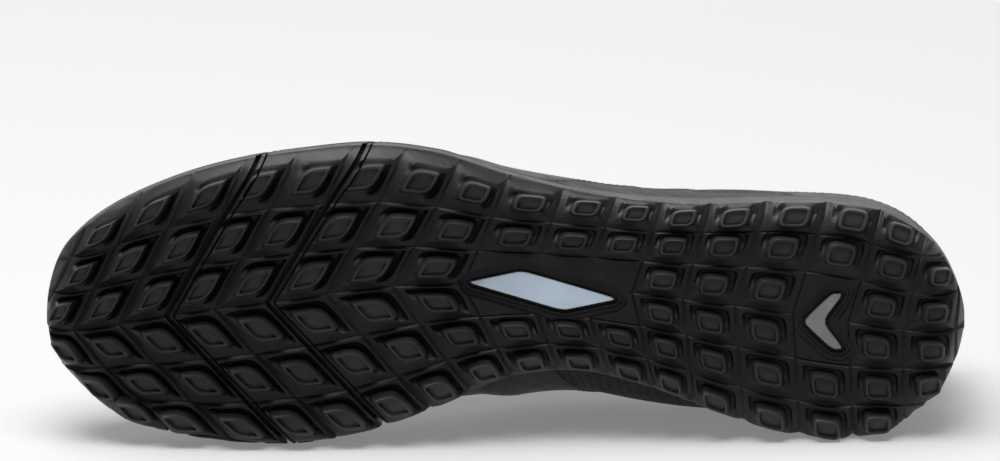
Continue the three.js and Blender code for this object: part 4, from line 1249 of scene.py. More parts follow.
def tongue_shape():
    """The tongue: a padded sheet under the lacing with a rounded edge, and its tab above."""
    drop = UPPER_WALL + TONGUE_GAP
    shares = np.linspace(TONGUE_START, TONGUE_END, 26)

    def sheet(depth):
        sections = [
            tongue_section(s, depth + TONGUE_SINK * float(smooth(0.5, LACING_TOP_SIDE, s))) for s in shares
        ]
        last = sections[-1]
        middle = last[len(last) // 2]
        for rise in np.linspace(0.08, 1, 12):
            lean, narrow, curve = (read(TAB_STEPS, k, rise) for k in (1, 2, 3))
            angle = math.radians(float(lean))
            q = last.copy()
            q[:, 1] = middle[1] + (q[:, 1] - middle[1]) * narrow
            q[:, 2] = middle[2] + (q[:, 2] - middle[2]) * curve
            q[:, 0] += math.cos(angle) * TONGUE_TAB * rise - (depth - drop) * math.sin(angle) * 0.2
            q[:, 2] += math.sin(angle) * TONGUE_TAB * rise
            sections.append(q)
        return sections

    top, under = sheet(drop), sheet(drop + TONGUE_THICKNESS)
    rings, uvs = [], []
    climb = 0.0
    for k, (a, b) in enumerate(zip(top, under)):
        across = np.linspace(0, 1, len(a))[:, None]
        puff = 0.55 * np.sin(math.pi * across) ** 0.5 * (1 - 0.5 * np.exp(-((across - 0.5) / 0.03) ** 2))
        way = b - a
        way /= np.linalg.norm(way, axis=1, keepdims=True)
        end = smooth(0, 2, len(top) - 1 - k)
        edge = 1 - np.clip(np.abs(across - 0.5) * 2, 0, 1) ** 12 * 0.5
        middle = (a + b) / 2
        half = (a - b) / 2 * edge * (0.55 + 0.45 * end)
        rings.append(np.concatenate((middle + half - way * puff * 0.6, (middle - half)[::-1])))
        climb += 0 if k == 0 else np.linalg.norm(top[k] - top[k - 1], axis=1).mean() / 1000
        wide = np.concatenate(([0], np.cumsum(np.linalg.norm(np.diff(a, axis=0), axis=1)))) / 1000
        uvs.append(np.column_stack((np.concatenate((wide, -wide[::-1])), np.full(2 * len(a), climb))))
    obj = loft_object("tongue_pad", rings[::-1], True, True)
    uv_map(obj, np.concatenate(uvs[::-1]))
    return clean(obj)


def insole_shape():
    """The sock liner on the footbed, with a slightly raised edge."""
    outline = cup_ring(np.linspace(0, 1, 121), -INSOLE_INSET, bed_height)
    spine = middle_line(outline)

    def ring(share, height):
        q = outline[:, :2] * (1 - share) + spine * share
        return np.column_stack((q, bed_height(q[:, 0]) + CLEARANCE + height))

    top = INSOLE_THICKNESS
    rings = [ring(1, 0), ring(0.3, 0), ring(0.02, 0), ring(0, 0.5), ring(0, top - 0.4), ring(0.01, top)]
    rings += [ring(s, top - d) for s, d in ((0.04, 0.05), (0.15, 0.35), (0.4, 0.6), (0.7, 0.65), (1, 0.65))]
    return clean(loft_object("sock_liner", rings))


def eyelet_shares():
    return np.linspace(FIRST_EYELET_SIDE, LAST_EYELET_SIDE, EYELET_PAIRS)


def lace_stations(start, end, over, thickness):
    """Points and normals of one strip of lace, from an eyelet over the tongue to one on the other side."""
    lift = LACE_GAP + thickness / 2
    steps = (
        (EYELET_HEIGHT - EYELET_DIP, -UPPER_WALL * 0.4),
        (EYELET_HEIGHT, lift * 0.7),
        (LACE_LIFT_HEIGHT, lift),
        (EDGE_HEIGHT, lift),
    )

    def climb(share, side):
        places = [(upper_place(share, side, height), stand) for height, stand in steps]
        return [(p + n * stand, n) for (p, n), stand in places]

    rising, falling = climb(*start), climb(*end)[::-1]
    (a, a_normal), (b, b_normal) = rising[-1], falling[0]
    crossing = []
    for t in (0.2, 0.35, 0.5, 0.65, 0.8):
        normal = a_normal * (1 - t) + b_normal * t
        hump = over * math.exp(-((t - 0.5) / 0.17) ** 2)
        crossing.append((crown_point(a, b, t) + (0, 0, hump), normal / np.linalg.norm(normal)))
    stations = rising + crossing + falling
    return np.array([p for p, _ in stations]), np.array([n for _, n in stations])


def lace_strip(start, end, over, width, thickness):
    """Rings and UVs of one strip of lace."""
    points, normals = lace_stations(start, end, over, thickness)
    reach = np.concatenate(([0], np.cumsum(np.linalg.norm(np.diff(points, axis=0), axis=1))))
    fine = np.linspace(0, reach[-1], 40)

    def along(values):
        keys = tuple(zip(reach, *values.T))
        return np.stack([read(keys, k + 1, fine) for k in range(3)], -1)

    points, normals = along(points), along(normals)
    normals /= np.linalg.norm(normals, axis=1, keepdims=True)
    way = np.gradient(points, axis=0)
    way /= np.linalg.norm(way, axis=1, keepdims=True)
    wide = np.cross(normals, way)
    wide /= np.linalg.norm(wide, axis=1, keepdims=True)
    high = np.cross(way, wide)
    half, thin = width / 2, thickness / 2
    rings = [
        np.array([p + w * x * half + h * y * thin for x, y in LACE_SECTION])
        for p, w, h in zip(points, wide, high)
    ]
    uvs = [np.array([(x * half / 1000, r / 1000) for x, _ in LACE_SECTION]) for r in fine]
    return rings, uvs


def laces_shape(width, thickness):
    """A bar across the lowest pair of eyelets and two zigzags up from it."""
    shares = eyelet_shares()
    strips = [((shares[0], OUTER), (shares[0], INNER), 0.3)]
    for i in range(EYELET_PAIRS - 1):
        strips.append(((shares[i], OUTER), (shares[i + 1], INNER), 1.1))
        strips.append(((shares[i + 1], OUTER), (shares[i], INNER), -0.1))
    points, faces, uvs = [], [], []
    for start, end, over in strips:
        rings, ring_uvs = lace_strip(start, end, over, width, thickness)
        first = sum(len(p) for p in points)
        size = len(rings[0])
        points += rings
        uvs += ring_uvs
        faces += grid_faces(len(rings), size, True, first)
        faces.append(tuple(range(first, first + size))[::-1])
        faces.append(tuple(range(first + (len(rings) - 1) * size, first + len(rings) * size)))
    obj = mesh_object("lacing", np.concatenate(points), faces)
    uv_map(obj, np.concatenate(uvs))
    return clean(obj)


def eyelets_shape():
    """A painted ring round each lace hole, modelled once and copied."""
    deselect_all()
    bpy.ops.mesh.primitive_torus_add(
        major_segments=28,
        minor_segments=8,
        major_radius=RING_RADIUS / 1000,
        minor_radius=RING_THICKNESS / 1000,
    )
    first = bpy.context.object
    rings = []
    for side in (OUTER, INNER):
        for share in eyelet_shares():
            p, n = upper_place(share, side, EYELET_HEIGHT)
            normal = Vector(laid([n])[0] - laid([(0, 0, 0)])[0]).normalized()
            place = Matrix.Translation(laid([p + n * RING_STAND])[0])
            ring = first.copy()
            ring.data = first.data.copy()
            ring.data.transform(place @ normal.to_track_quat("Z", "Y").to_matrix().to_4x4())
            bpy.context.scene.collection.objects.link(ring)
            rings.append(ring)
    bpy.data.objects.remove(first)
    make_active(rings[0])
    for ring in rings:
        ring.select_set(True)
    bpy.ops.object.join()
    rings[0].name = "eyelet_rings"
    return rings[0]


def inlay_shape(name, plan, margin):
    """An inlay: its plan filled, extruded to a plate, with a narrow border inset in its face."""
    deselect_all()
    bpy.ops.mesh.primitive_circle_add(vertices=len(plan), radius=0.01, fill_type="NGON")
    obj = bpy.context.object
    obj.name = name
    low = recess_floor(plan) - CLEARANCE
    places = laid(np.column_stack((plan, np.full(len(plan), low))))
    for vertex, place in zip(obj.data.vertices, places):
        vertex.co = place
    down = Vector(laid([(0, 0, -INLAY_THICKNESS)])[0] - laid([(0, 0, 0)])[0])
    bpy.ops.object.mode_set(mode="EDIT")
    bpy.ops.mesh.select_all(action="SELECT")
    bpy.ops.mesh.extrude_region_move(TRANSFORM_OT_translate={"value": down})
    bpy.ops.mesh.inset(thickness=margin / 1000, depth=0)
    bpy.ops.object.mode_set(mode="OBJECT")
    clean(obj)
    face = max(obj.data.polygons, key=lambda f: f.area if f.normal.dot(down) > 0 else 0)
    for polygon in obj.data.polygons:
        polygon.material_index = 1
    face.material_index = 0
    bevel = obj.modifiers.new("bevel", "BEVEL")
    bevel.width = 0.0003
    bevel.segments = 3
    bevel.limit_method = "ANGLE"
    bevel.angle_limit = math.radians(40)
    make_active(obj)
    bpy.ops.object.modifier_apply(modifier=bevel.name)
    return obj


def wall_place(share, side, level):
    """Points on the cup's wall with their normals, at a share of its height."""
    base, out = side_point(share, side), side_out(share, side)
    low, high = shoulder_height(base[:, 0]), lip_height(base[:, 0])
    stand = float(read(WALL_ROWS, 1, level)) * LIP_LEAN
    points = np.column_stack((base + out * stand, low + (high - low) * level))
    return points, np.column_stack((out, np.zeros(len(out))))


def seam_lines():
    """Every seam as a fine line with its normals and the pitch of its stitches."""
    t = np.linspace(0, 1, 160)
    for side in (OUTER, INNER):
        start, end, level = WALL_SEAM
        place, normal = wall_place(start + (end - start) * t, side, level)
        yield place, normal, WALL_STITCH_PITCH
        for (s0, h0), (s1, h1), (s2, h2) in SEAMS:
            s = s0 + (4 * s1 - 3 * s0 - s2) * t + (2 * s0 + 2 * s2 - 4 * s1) * t ** 2
            h = h0 + (4 * h1 - 3 * h0 - h2) * t + (2 * h0 + 2 * h2 - 4 * h1) * t ** 2
            place, normal = upper_place(s, side, h)
            yield place + normal * upper_relief(s, side, h)[:, None], normal, STITCH_PITCH


def stitching_shape():
    """All stitches of the seams, each a small spindle of eight faces half sunk in the skin."""
    points, faces = [], []
    for place, normal, pitch in seam_lines():
        reach = np.concatenate(([0], np.cumsum(np.linalg.norm(np.diff(place, axis=0), axis=1))))
        count = max(2, int(reach[-1] / pitch))
        middles = (np.arange(count) + 0.5) / count * reach[-1]
        start, middle, end = (
            np.stack([np.interp(middles + shift, reach, place[:, k]) for k in range(3)], -1)
            for shift in (-STITCH_FILL * pitch / 2, 0, STITCH_FILL * pitch / 2)
        )
        up = np.stack([np.interp(middles, reach, normal[:, k]) for k in range(3)], -1)
        wide = np.cross(end - start, up)
        wide *= STITCH_WIDTH / 2 / np.linalg.norm(wide, axis=1, keepdims=True)
        rise = up * STITCH_WIDTH * STITCH_RISE
        low = middle - rise * STITCH_SINK
        stitch = np.stack((start, end, middle + wide, middle + rise, middle - wide, low), 1)
        first = sum(len(p) for p in points)
        points.append(stitch.reshape(-1, 3))
        for base in range(first, first + 6 * count, 6):
            for i in range(4):
                a, b = base + 2 + i, base + 2 + (i + 1) % 4
                faces += [(base, a, b), (base + 1, b, a)]
    return clean(mesh_object("stitching", np.concatenate(points), faces), merge=1e-7)


class Finish:
    """A node material in the making: one shader, its colours, its gloss and its relief."""

    def __init__(self, name, **values):
        self.material = bpy.data.materials.new(name)
        self.material.use_nodes = True
        self.nodes = self.material.node_tree.nodes
        self.links = self.material.node_tree.links
        self.nodes.clear()
        output = self.nodes.new("ShaderNodeOutputMaterial")
        self.shader = self.nodes.new("ShaderNodeBsdfPrincipled")
        self.links.new(self.shader.outputs["BSDF"], output.inputs["Surface"])
        self.places = self.nodes.new("ShaderNodeTexCoord")
        self.relief = None
        for socket, value in values.items():
            self.shader.inputs[socket.replace("_", " ").title().replace("Ior", "IOR")].default_value = value

    def place(self, source="Object", scale=(1, 1, 1), turn=(0, 0, 0)):
        mapping = self.nodes.new("ShaderNodeMapping")
        mapping.inputs["Scale"].default_value = scale
        mapping.inputs["Rotation"].default_value = turn
        self.links.new(self.places.outputs[source], mapping.inputs["Vector"])
        return mapping.outputs["Vector"]

    def attribute(self, name):
        node = self.nodes.new("ShaderNodeAttribute")
        node.attribute_name = name
        return node.outputs["Fac"]

    def noise(self, scale, detail=3.0, place=None):
        node = self.nodes.new("ShaderNodeTexNoise")
        node.inputs["Scale"].default_value = scale
        node.inputs["Detail"].default_value = detail
        self.links.new(place or self.place(), node.inputs["Vector"])
        return node.outputs["Fac"]

    def cells(self, scale, place=None):
        node = self.nodes.new("ShaderNodeTexVoronoi")
        node.inputs["Scale"].default_value = scale
        self.links.new(place or self.place(), node.inputs["Vector"])
        return node.outputs["Distance"]

    def wave(self, scale, place, direction="X", distortion=0.0):
        node = self.nodes.new("ShaderNodeTexWave")
        node.bands_direction = direction
        node.inputs["Scale"].default_value = scale
        node.inputs["Distortion"].default_value = distortion
        self.links.new(place, node.inputs["Vector"])
        return node.outputs["Fac"]

    def ramp(self, value, low, high, bottom=0.0, top=1.0):
        node = self.nodes.new("ShaderNodeMapRange")
        for socket, number in zip(("From Min", "From Max", "To Min", "To Max"), (low, high, bottom, top)):
            node.inputs[socket].default_value = number
        self.links.new(value, node.inputs["Value"])
        return node.outputs["Result"]

    def maths(self, operation, a, b):
        node = self.nodes.new("ShaderNodeMath")
        node.operation = operation
        for socket, value in zip(node.inputs, (a, b)):
            if isinstance(value, (int, float)):
                socket.default_value = value
            else:
                self.links.new(value, socket)
        return node.outputs["Value"]

    def colours(self, factor, first, second):
        node = self.nodes.new("ShaderNodeMix")
        node.data_type = "RGBA"
        self.links.new(factor, node.inputs["Factor"])
        colour_sockets = [s for s in node.inputs if s.type == "RGBA"]
        for socket, colour in zip(colour_sockets, (first, second)):
            if isinstance(colour, bpy.types.NodeSocket):
                self.links.new(colour, socket)
            else:
                socket.default_value = (*colour[:3], 1)
        return next(s for s in node.outputs if s.type == "RGBA")

    def paint(self, colour):
        self.links.new(colour, self.shader.inputs["Base Color"])

    def gloss(self, roughness):
        self.links.new(roughness, self.shader.inputs["Roughness"])

    def bump(self, height, depth):
        node = self.nodes.new("ShaderNodeBump")
        node.inputs["Strength"].default_value = 1
        node.inputs["Distance"].default_value = depth
        self.links.new(height, node.inputs["Height"])
        if self.relief:
            self.links.new(self.relief, node.inputs["Normal"])
        self.relief = node.outputs["Normal"]
        self.links.new(self.relief, self.shader.inputs["Normal"])


def shades(colour, low, high):
    """A darker and a lighter shade of a colour."""
    return tuple(c * low for c in colour[:3]), tuple(c * high for c in colour[:3])


def rubber_finish(colour):
    finish = Finish("sole_rubber", roughness=0.45, specular_ior_level=0.22)
    dark, light = shades(colour, 0.95, 1.5)
    raised = finish.colours(finish.ramp(finish.noise(38, 5), 0.35, 0.7), dark, light)
    # Painted light and shade: the valleys between the studs are darkened to 0.4 of the rubber as painted
    # shade, and the edge studs, which face the light, are lightened up to 2.8 times as a painted highlight.
    valley, painted_highlight = shades(colour, 0.4, 2.8)
    body = finish.colours(finish.ramp(finish.attribute("relief"), 0, 1), valley, raised)
    body = finish.colours(finish.ramp(finish.attribute("relief"), 1, 1.4), body, painted_highlight)
    dust = finish.ramp(finish.noise(420, 6, finish.place(scale=(1, 3, 1))), 0.56, 0.8, 0, 0.22)
    dust = finish.maths("MULTIPLY", dust, finish.ramp(finish.attribute("relief"), 0, 1, 0.35, 1))
    finish.paint(finish.colours(dust, body, (0.07, 0.069, 0.067)))
    rough = finish.ramp(finish.noise(150, 4), 0.3, 0.7, 0.3, 0.44)
    finish.gloss(finish.maths("ADD", rough, finish.ramp(finish.attribute("relief"), 0.1, 0.9, 0.16, 0)))
    finish.bump(finish.noise(2600, 3), 0.00006)
    finish.bump(finish.noise(260, 4), 0.00012)
    return finish.material


def skin_finish(colour):
    finish = Finish(
        "upper_skin", roughness=0.5, specular_ior_level=0.35, coat_weight=0.06, coat_roughness=0.4
    )
    panel = finish.ramp(finish.attribute("panel"), -0.15, 0.3)
    # Near the panels' edges the colour goes to a quarter of the skin's: a painted shadow line along each
    # panel's step.
    edge = finish.ramp(finish.maths("ABSOLUTE", finish.attribute("panel"), 0), 0.15, 0.7, 1, 0)
    ridges = finish.wave(110, finish.place("UV", turn=(0, 0, math.radians(25))), "X", 2.5)
    open_part = finish.maths("SUBTRACT", 1, panel)
    dark, light = shades(colour, 0.62, 0.95)
    vamp = finish.colours(finish.ramp(ridges, 0.2, 0.9), dark, light)
    dark, light = shades(colour, 0.95, 1.45)
    overlay = finish.colours(finish.ramp(finish.noise(60, 5), 0.35, 0.7), dark, light)
    whole = finish.colours(panel, vamp, overlay)
    finish.paint(finish.colours(edge, whole, shades(colour, 0.25, 1)[0]))
    rough = finish.ramp(finish.noise(220, 4), 0.3, 0.75, 0.4, 0.6)
    finish.gloss(finish.maths("ADD", rough, finish.ramp(open_part, 0, 1, 0, 0.16)))
    finish.bump(finish.maths("MULTIPLY", ridges, open_part), 0.0003)
    finish.bump(panel, 0.0006)
    finish.bump(finish.cells(900), 0.0001)
    finish.bump(finish.noise(2400, 3), 0.00005)
    return finish.material


def lining_finish(colour):
    finish = Finish(
        "collar_lining", roughness=0.9, specular_ior_level=0.2, sheen_weight=0.25, sheen_roughness=0.5
    )
    dark, light = shades(colour, 0.6, 1.5)
    rows = finish.wave(300, finish.place("UV"), "Y", 0.5)
    ribs = finish.wave(220, finish.place("UV"), "X", 0.5)
    knit = finish.maths("MULTIPLY", rows, ribs)
    finish.paint(finish.colours(finish.ramp(knit, 0.1, 0.7), dark, light))
    finish.bump(knit, 0.0002)
    finish.bump(finish.noise(1800, 3), 0.0001)
    return finish.material


def knit_finish(colour):
    finish = Finish(
        "tongue_mesh", roughness=0.85, specular_ior_level=0.25, sheen_weight=0.2, sheen_roughness=0.5
    )
    dark, light = shades(colour, 0.5, 1.5)
    holes = finish.cells(620, finish.place("UV", (1, 0.75, 1)))
    finish.paint(finish.colours(finish.ramp(holes, 0.1, 0.5), dark, light))
    finish.bump(finish.ramp(holes, 0.15, 0.5), 0.0003)
    finish.bump(finish.wave(420, finish.place("UV"), "DIAGONAL"), 0.00008)
    return finish.material


def insole_finish(colour):
    finish = Finish(
        "insole_cloth", roughness=0.92, specular_ior_level=0.2, sheen_weight=0.3, sheen_roughness=0.5
    )
    dark, light = shades(colour, 0.65, 1.4)
    weft = finish.wave(300, finish.place(), "X", 0.8)
    warp = finish.wave(300, finish.place(), "Z", 0.8)
    cloth = finish.maths("MULTIPLY", weft, warp)
    finish.paint(finish.colours(finish.ramp(cloth, 0.1, 0.8), dark, light))
    finish.bump(cloth, 0.00015)
    return finish.material


def lace_finish(colour):
    finish = Finish(
        "lace_weave", roughness=0.8, specular_ior_level=0.3, sheen_weight=0.3, sheen_roughness=0.4
    )
    dark, light = shades(colour, 0.45, 1.5)
    left = finish.wave(500, finish.place("UV", (1, 1, 1), (0, 0, math.radians(35))), "Y")
    right = finish.wave(500, finish.place("UV", (1, 1, 1), (0, 0, math.radians(-35))), "Y")
    weave = finish.maths("MAXIMUM", left, right)
    finish.paint(finish.colours(finish.ramp(weave, 0.4, 1.0), dark, light))
    finish.bump(weave, 0.0002)
    finish.bump(finish.noise(3500, 2), 0.00005)
    return finish.material


def thread_finish(colour):
    finish = Finish(
        "seam_thread", roughness=0.7, specular_ior_level=0.35, sheen_weight=0.2, sheen_roughness=0.4
    )
    dark, light = shades(colour, 0.6, 1.4)
    finish.paint(finish.colours(finish.noise(1500, 2), dark, light))
    finish.bump(finish.noise(6000, 2), 0.00005)
    return finish.material


def ring_finish(colour):
    finish = Finish(
        "eyelet_paint", roughness=0.35, specular_ior_level=0.5, coat_weight=0.3, coat_roughness=0.2
    )
    dark, light = shades(colour, 0.8, 1.3)
    finish.paint(finish.colours(finish.noise(700, 4), dark, light))
    finish.gloss(finish.ramp(finish.noise(900, 3), 0.3, 0.7, 0.28, 0.5))
    finish.bump(finish.noise(2500, 3), 0.00003)
    return finish.material


def pale_finish(colour):
    finish = Finish(
        "inlay_face", roughness=0.38, specular_ior_level=0.4, coat_weight=0.3, coat_roughness=0.25
    )
    dark, light = shades(colour, 0.86, 1.08)
    finish.paint(finish.colours(finish.ramp(finish.noise(55, 4), 0.3, 0.7), dark, light))
    finish.gloss(finish.ramp(finish.noise(300, 3), 0.3, 0.7, 0.3, 0.5))
    finish.bump(finish.noise(1800, 3), 0.00004)
    return finish.material


def edge_finish(colour):
    finish = Finish("inlay_edge", roughness=0.45, specular_ior_level=0.4, coat_weight=0.2, coat_roughness=0.3)
    dark, light = shades(colour, 0.8, 1.25)
    finish.paint(finish.colours(finish.noise(400, 3), dark, light))
    finish.bump(finish.noise(2000, 3), 0.00004)
    return finish.material


def window_finish(colour):
    finish = Finish("heel_gel", roughness=0.3, specular_ior_level=0.45, coat_weight=0.4, coat_roughness=0.15)
    dark, light = shades(colour, 0.75, 1.2)
    finish.paint(finish.colours(finish.ramp(finish.noise(120, 4), 0.3, 0.7), dark, light))
    finish.gloss(finish.ramp(finish.noise(500, 3), 0.3, 0.7, 0.22, 0.42))
    finish.bump(finish.noise(1200, 2), 0.00005)
    return finish.material


def floor_finish(colour):
    finish = Finish("studio_floor", roughness=0.7, specular_ior_level=0.05)
    finish.shader.inputs["Emission Color"].default_value = (1, 1, 1, 1)
    finish.shader.inputs["Emission Strength"].default_value = FLOOR_GLOW
    dark, light = shades(colour, 0.995, 1.0)
    finish.paint(finish.colours(finish.noise(3, 2), dark, light))
    return finish.material


def wear(obj, *materials):
    """Gives a piece its materials, in the order of its faces' slots."""
    obj.data.materials.clear()
    for material in materials:
        obj.data.materials.append(material)


def colour_property(name, description, default):
    return FloatVectorProperty(
        name=name, description=description, subtype="COLOR", size=3, min=0, max=1, default=default
    )


def length_property(name, description, default):
    return FloatProperty(name=name, description=description, default=default, min=0.0005, unit="LENGTH")


def power_property(name, description, default):
    return FloatProperty(name=name, description=description, default=default, min=0, unit="POWER")


class SoleSettings(bpy.types.PropertyGroup):
    groove_width: length_property("Groove width", "Width of the flex grooves", 0.0017)
    groove_depth: length_property("Groove depth", "Depth of the flex grooves", 0.0026)
    rubber: colour_property("Rubber", "Colour of the sole", (0.0165, 0.0145, 0.0165))
    inlay_face: colour_property("Inlay face", "Colour of the lozenge inlay", (0.50, 0.60, 0.72))
    inlay_edge: colour_property("Inlay edge", "Colour of the lozenge's border", (0.012, 0.02, 0.06))
    window: colour_property("Window", "Colour of the heel window", (0.16, 0.165, 0.17))


class UpperSettings(bpy.types.PropertyGroup):
    skin: colour_property("Skin", "Colour of the upper", (0.016, 0.016, 0.018))
    lining: colour_property("Lining", "Colour of the collar lining", (0.02, 0.02, 0.022))
    mesh: colour_property("Tongue", "Colour of the tongue's mesh", (0.02, 0.02, 0.023))
    insole: colour_property("Insole", "Colour of the sock liner", (0.03, 0.032, 0.036))
    thread: colour_property("Thread", "Colour of the seams' thread", (0.035, 0.035, 0.038))


class LacingSettings(bpy.types.PropertyGroup):
    width: length_property("Lace width", "Width of the flat lace", 0.0055)
    thickness: length_property("Lace thickness", "Thickness of the lace", 0.0013)
    lace: colour_property("Lace", "Colour of the lace", (0.022, 0.022, 0.025))
    ring: colour_property("Eyelets", "Colour of the eyelet rings", (0.03, 0.03, 0.032))


class StageSettings(bpy.types.PropertyGroup):
    floor: colour_property("Floor", "Colour of the studio floor", (0.455, 0.455, 0.455))
    key: power_property("Key light", "Power of the light overhead", 46)
    back: power_property("Back light", "Power of the light behind", 20)
    fill: power_property("Fill light", "Power of the light in front", 0.3)


class SHOE_OT_sole(bpy.types.Operator):
    """Model the cup sole with its studs, grooves and recesses"""

    bl_idname = "shoe.sole"
    bl_label = "Sole"

    def execute(self, context):
        settings = context.scene.shoe_sole
        sole = outsole_shape(settings.groove_width * 1000, settings.groove_depth * 1000)
        sole.name = "cup_sole"
        shade(sole, 32)
        wear(sole, rubber_finish(settings.rubber))
        finish_piece(sole, "outsole_rubber", "outsole")
        return {"FINISHED"}


class SHOE_OT_inlays(bpy.types.Operator):
    """Model the lozenge inlay and the heel window"""

    bl_idname = "shoe.inlays"
    bl_label = "Inlays"

    def execute(self, context):
        settings = context.scene.shoe_sole
        lozenge = inlay_shape("arch_lozenge", lozenge_plan(), 0.25)
        wear(lozenge, pale_finish(settings.inlay_face), edge_finish(settings.inlay_edge))
        finish_piece(shade(lozenge), "pale_inlay", "arch_inlay")
        window = inlay_shape("heel_window", arrowhead_plan(), 0.4)
        gel = window_finish(settings.window)
        wear(window, gel, gel)
        finish_piece(shade(window), "grey_inlay", "heel_inlay")
        return {"FINISHED"}


class SHOE_OT_upper(bpy.types.Operator):
    """Model the upper with its panels, collar and lining"""

    bl_idname = "shoe.upper"
    bl_label = "Upper"

    def execute(self, context):
        settings = context.scene.shoe_upper
        upper = upper_shape()
        upper.name = "shoe_upper"
        wear(upper, skin_finish(settings.skin), lining_finish(settings.lining))
        finish_piece(shade(upper, 60), "upper_skin", "upper")
        return {"FINISHED"}


class SHOE_OT_stitching(bpy.types.Operator):
    """Model the stitches of the upper's seams"""

    bl_idname = "shoe.stitching"
    bl_label = "Stitching"

    def execute(self, context):
        seams = stitching_shape()
        wear(seams, thread_finish(context.scene.shoe_upper.thread))
        finish_piece(seams, "upper_skin")
        return {"FINISHED"}


class SHOE_OT_tongue(bpy.types.Operator):
    """Model the padded tongue"""

    bl_idname = "shoe.tongue"
    bl_label = "Tongue"

    def execute(self, context):
        tongue = tongue_shape()
        tongue.name = "padded_tongue"
        wear(tongue, knit_finish(context.scene.shoe_upper.mesh))
        finish_piece(shade(tongue, 60), "tongue_fabric", "tongue")
        return {"FINISHED"}


class SHOE_OT_insole(bpy.types.Operator):
    """Model the sock liner"""

    bl_idname = "shoe.insole"
    bl_label = "Insole"

    def execute(self, context):
        insole = insole_shape()
        wear(insole, insole_finish(context.scene.shoe_upper.insole))
        finish_piece(shade(insole, 50), "insole_fabric", "insole")
        return {"FINISHED"}


class SHOE_OT_laces(bpy.types.Operator):
    """Model the lace's crossings"""

    bl_idname = "shoe.laces"
    bl_label = "Laces"

    def execute(self, context):
        settings = context.scene.shoe_lacing
        laces = laces_shape(settings.width * 1000, settings.thickness * 1000)
        laces.name = "flat_laces"
        wear(laces, lace_finish(settings.lace))
        finish_piece(shade(laces, 60), "lace_fabric", "laces")
        return {"FINISHED"}


class SHOE_OT_eyelets(bpy.types.Operator):
    """Model the rings round the lace holes"""

    bl_idname = "shoe.eyelets"
    bl_label = "Eyelets"

    def execute(self, context):
        rings = eyelets_shape()
        wear(rings, ring_finish(context.scene.shoe_lacing.ring))
        finish_piece(shade(rings, 60), "upper_skin")
        return {"FINISHED"}


def add_area_light(name, place, aim, size, power):
    data = bpy.data.lights.new(name, "AREA")
    data.shape = "RECTANGLE"
    data.size, data.size_y = size
    data.energy = power
    light = bpy.data.objects.new(name, data)
    light.location = place
    light.rotation_euler = (Vector(aim) - Vector(place)).to_track_quat("-Z", "Y").to_euler()
    bpy.context.scene.collection.objects.link(light)


def add_camera():
    """The camera at the photograph's angle to the shoe, far off with a long lens."""
    turn, rise, roll = math.radians(CAMERA_TURN), math.radians(CAMERA_RISE), math.radians(CAMERA_ROLL)
    back = Vector((math.sin(turn) * math.cos(rise), -math.cos(turn) * math.cos(rise), math.sin(rise)))
    data = bpy.data.cameras.new("camera")
    data.sensor_width = SENSOR_WIDTH
    data.lens = SENSOR_WIDTH * PIXELS_PER_METRE * CAMERA_DISTANCE / PICTURE_SIZE[0]
    data.clip_end = 50
    camera = bpy.data.objects.new("camera", data)
    right = Vector((math.cos(turn), math.sin(turn), 0))
    up = back.cross(right)
    right, up = right * math.cos(roll) + up * math.sin(roll), up * math.cos(roll) - right * math.sin(roll)
    across = (PICTURE_SIZE[0] / 2 - AIM_PIXEL[0]) / PIXELS_PER_METRE
    over = (AIM_PIXEL[1] - PICTURE_SIZE[1] / 2) / PIXELS_PER_METRE
    eye = AIM + back * CAMERA_DISTANCE + right * across + up * over
    camera.matrix_world = Matrix((
        (right.x, up.x, back.x, eye.x),
        (right.y, up.y, back.y, eye.y),
        (right.z, up.z, back.z, eye.z),
        (0, 0, 0, 1),
    ))
    bpy.context.scene.collection.objects.link(camera)
    bpy.context.scene.camera = camera


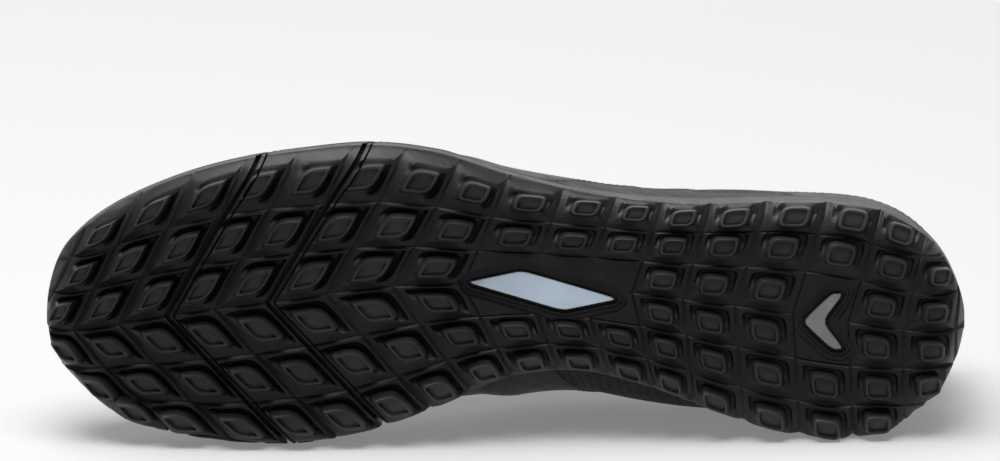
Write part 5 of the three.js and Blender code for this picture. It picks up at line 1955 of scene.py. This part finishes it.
class SHOE_OT_stage(bpy.types.Operator):
    """Set up the floor, the lights and the camera"""

    bl_idname = "shoe.stage"
    bl_label = "Stage"

    def execute(self, context):
        settings = context.scene.shoe_stage
        deselect_all()
        bpy.ops.mesh.primitive_plane_add(size=FLOOR_SIZE)
        floor = context.object
        floor.name = "studio_floor"
        wear(floor, floor_finish(settings.floor))
        world = bpy.data.worlds.new("studio")
        world.use_nodes = True
        background = world.node_tree.nodes["Background"]
        background.inputs["Color"].default_value = (1, 1, 1, 1)
        background.inputs["Strength"].default_value = WORLD_STRENGTH
        context.scene.world = world
        for name, (place, aim, size) in LIGHTS.items():
            add_area_light(name, place, aim, size, getattr(settings, name))
        context.scene.view_settings.view_transform = "Standard"
        context.scene.view_settings.look = "None"
        add_camera()
        return {"FINISHED"}


class SHOE_PT_panel(bpy.types.Panel):
    """Lists the pieces to model and the sizes and colours to change"""

    bl_idname = "SHOE_PT_panel"
    bl_label = "Turf Shoe"
    bl_space_type = "VIEW_3D"
    bl_region_type = "UI"
    bl_category = "Turf Shoe"

    def draw(self, context):
        for operator in OPERATORS:
            self.layout.operator(operator.bl_idname)
        for name, group in GROUPS.items():
            for key in group.__annotations__:
                self.layout.prop(getattr(context.scene, name), key)


OPERATORS = (
    SHOE_OT_stage,
    SHOE_OT_sole,
    SHOE_OT_inlays,
    SHOE_OT_insole,
    SHOE_OT_upper,
    SHOE_OT_stitching,
    SHOE_OT_tongue,
    SHOE_OT_laces,
    SHOE_OT_eyelets,
)
GROUPS = {
    "shoe_sole": SoleSettings,
    "shoe_upper": UpperSettings,
    "shoe_lacing": LacingSettings,
    "shoe_stage": StageSettings,
}


def register():
    for group in GROUPS.values():
        bpy.utils.register_class(group)
    for operator in OPERATORS:
        bpy.utils.register_class(operator)
    bpy.utils.register_class(SHOE_PT_panel)
    for name, group in GROUPS.items():
        setattr(bpy.types.Scene, name, PointerProperty(type=group))


def unregister():
    for name in GROUPS:
        delattr(bpy.types.Scene, name)
    bpy.utils.unregister_class(SHOE_PT_panel)
    for operator in OPERATORS:
        bpy.utils.unregister_class(operator)
    for group in GROUPS.values():
        bpy.utils.unregister_class(group)


def main():
    register()
    bpy.ops.shoe.stage()
    bpy.ops.shoe.sole()
    bpy.ops.shoe.inlays()
    bpy.ops.shoe.insole()
    bpy.ops.shoe.upper()
    bpy.ops.shoe.stitching()
    bpy.ops.shoe.tongue()
    bpy.ops.shoe.laces()
    bpy.ops.shoe.eyelets()
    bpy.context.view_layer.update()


if __name__ == "__main__":
    main()
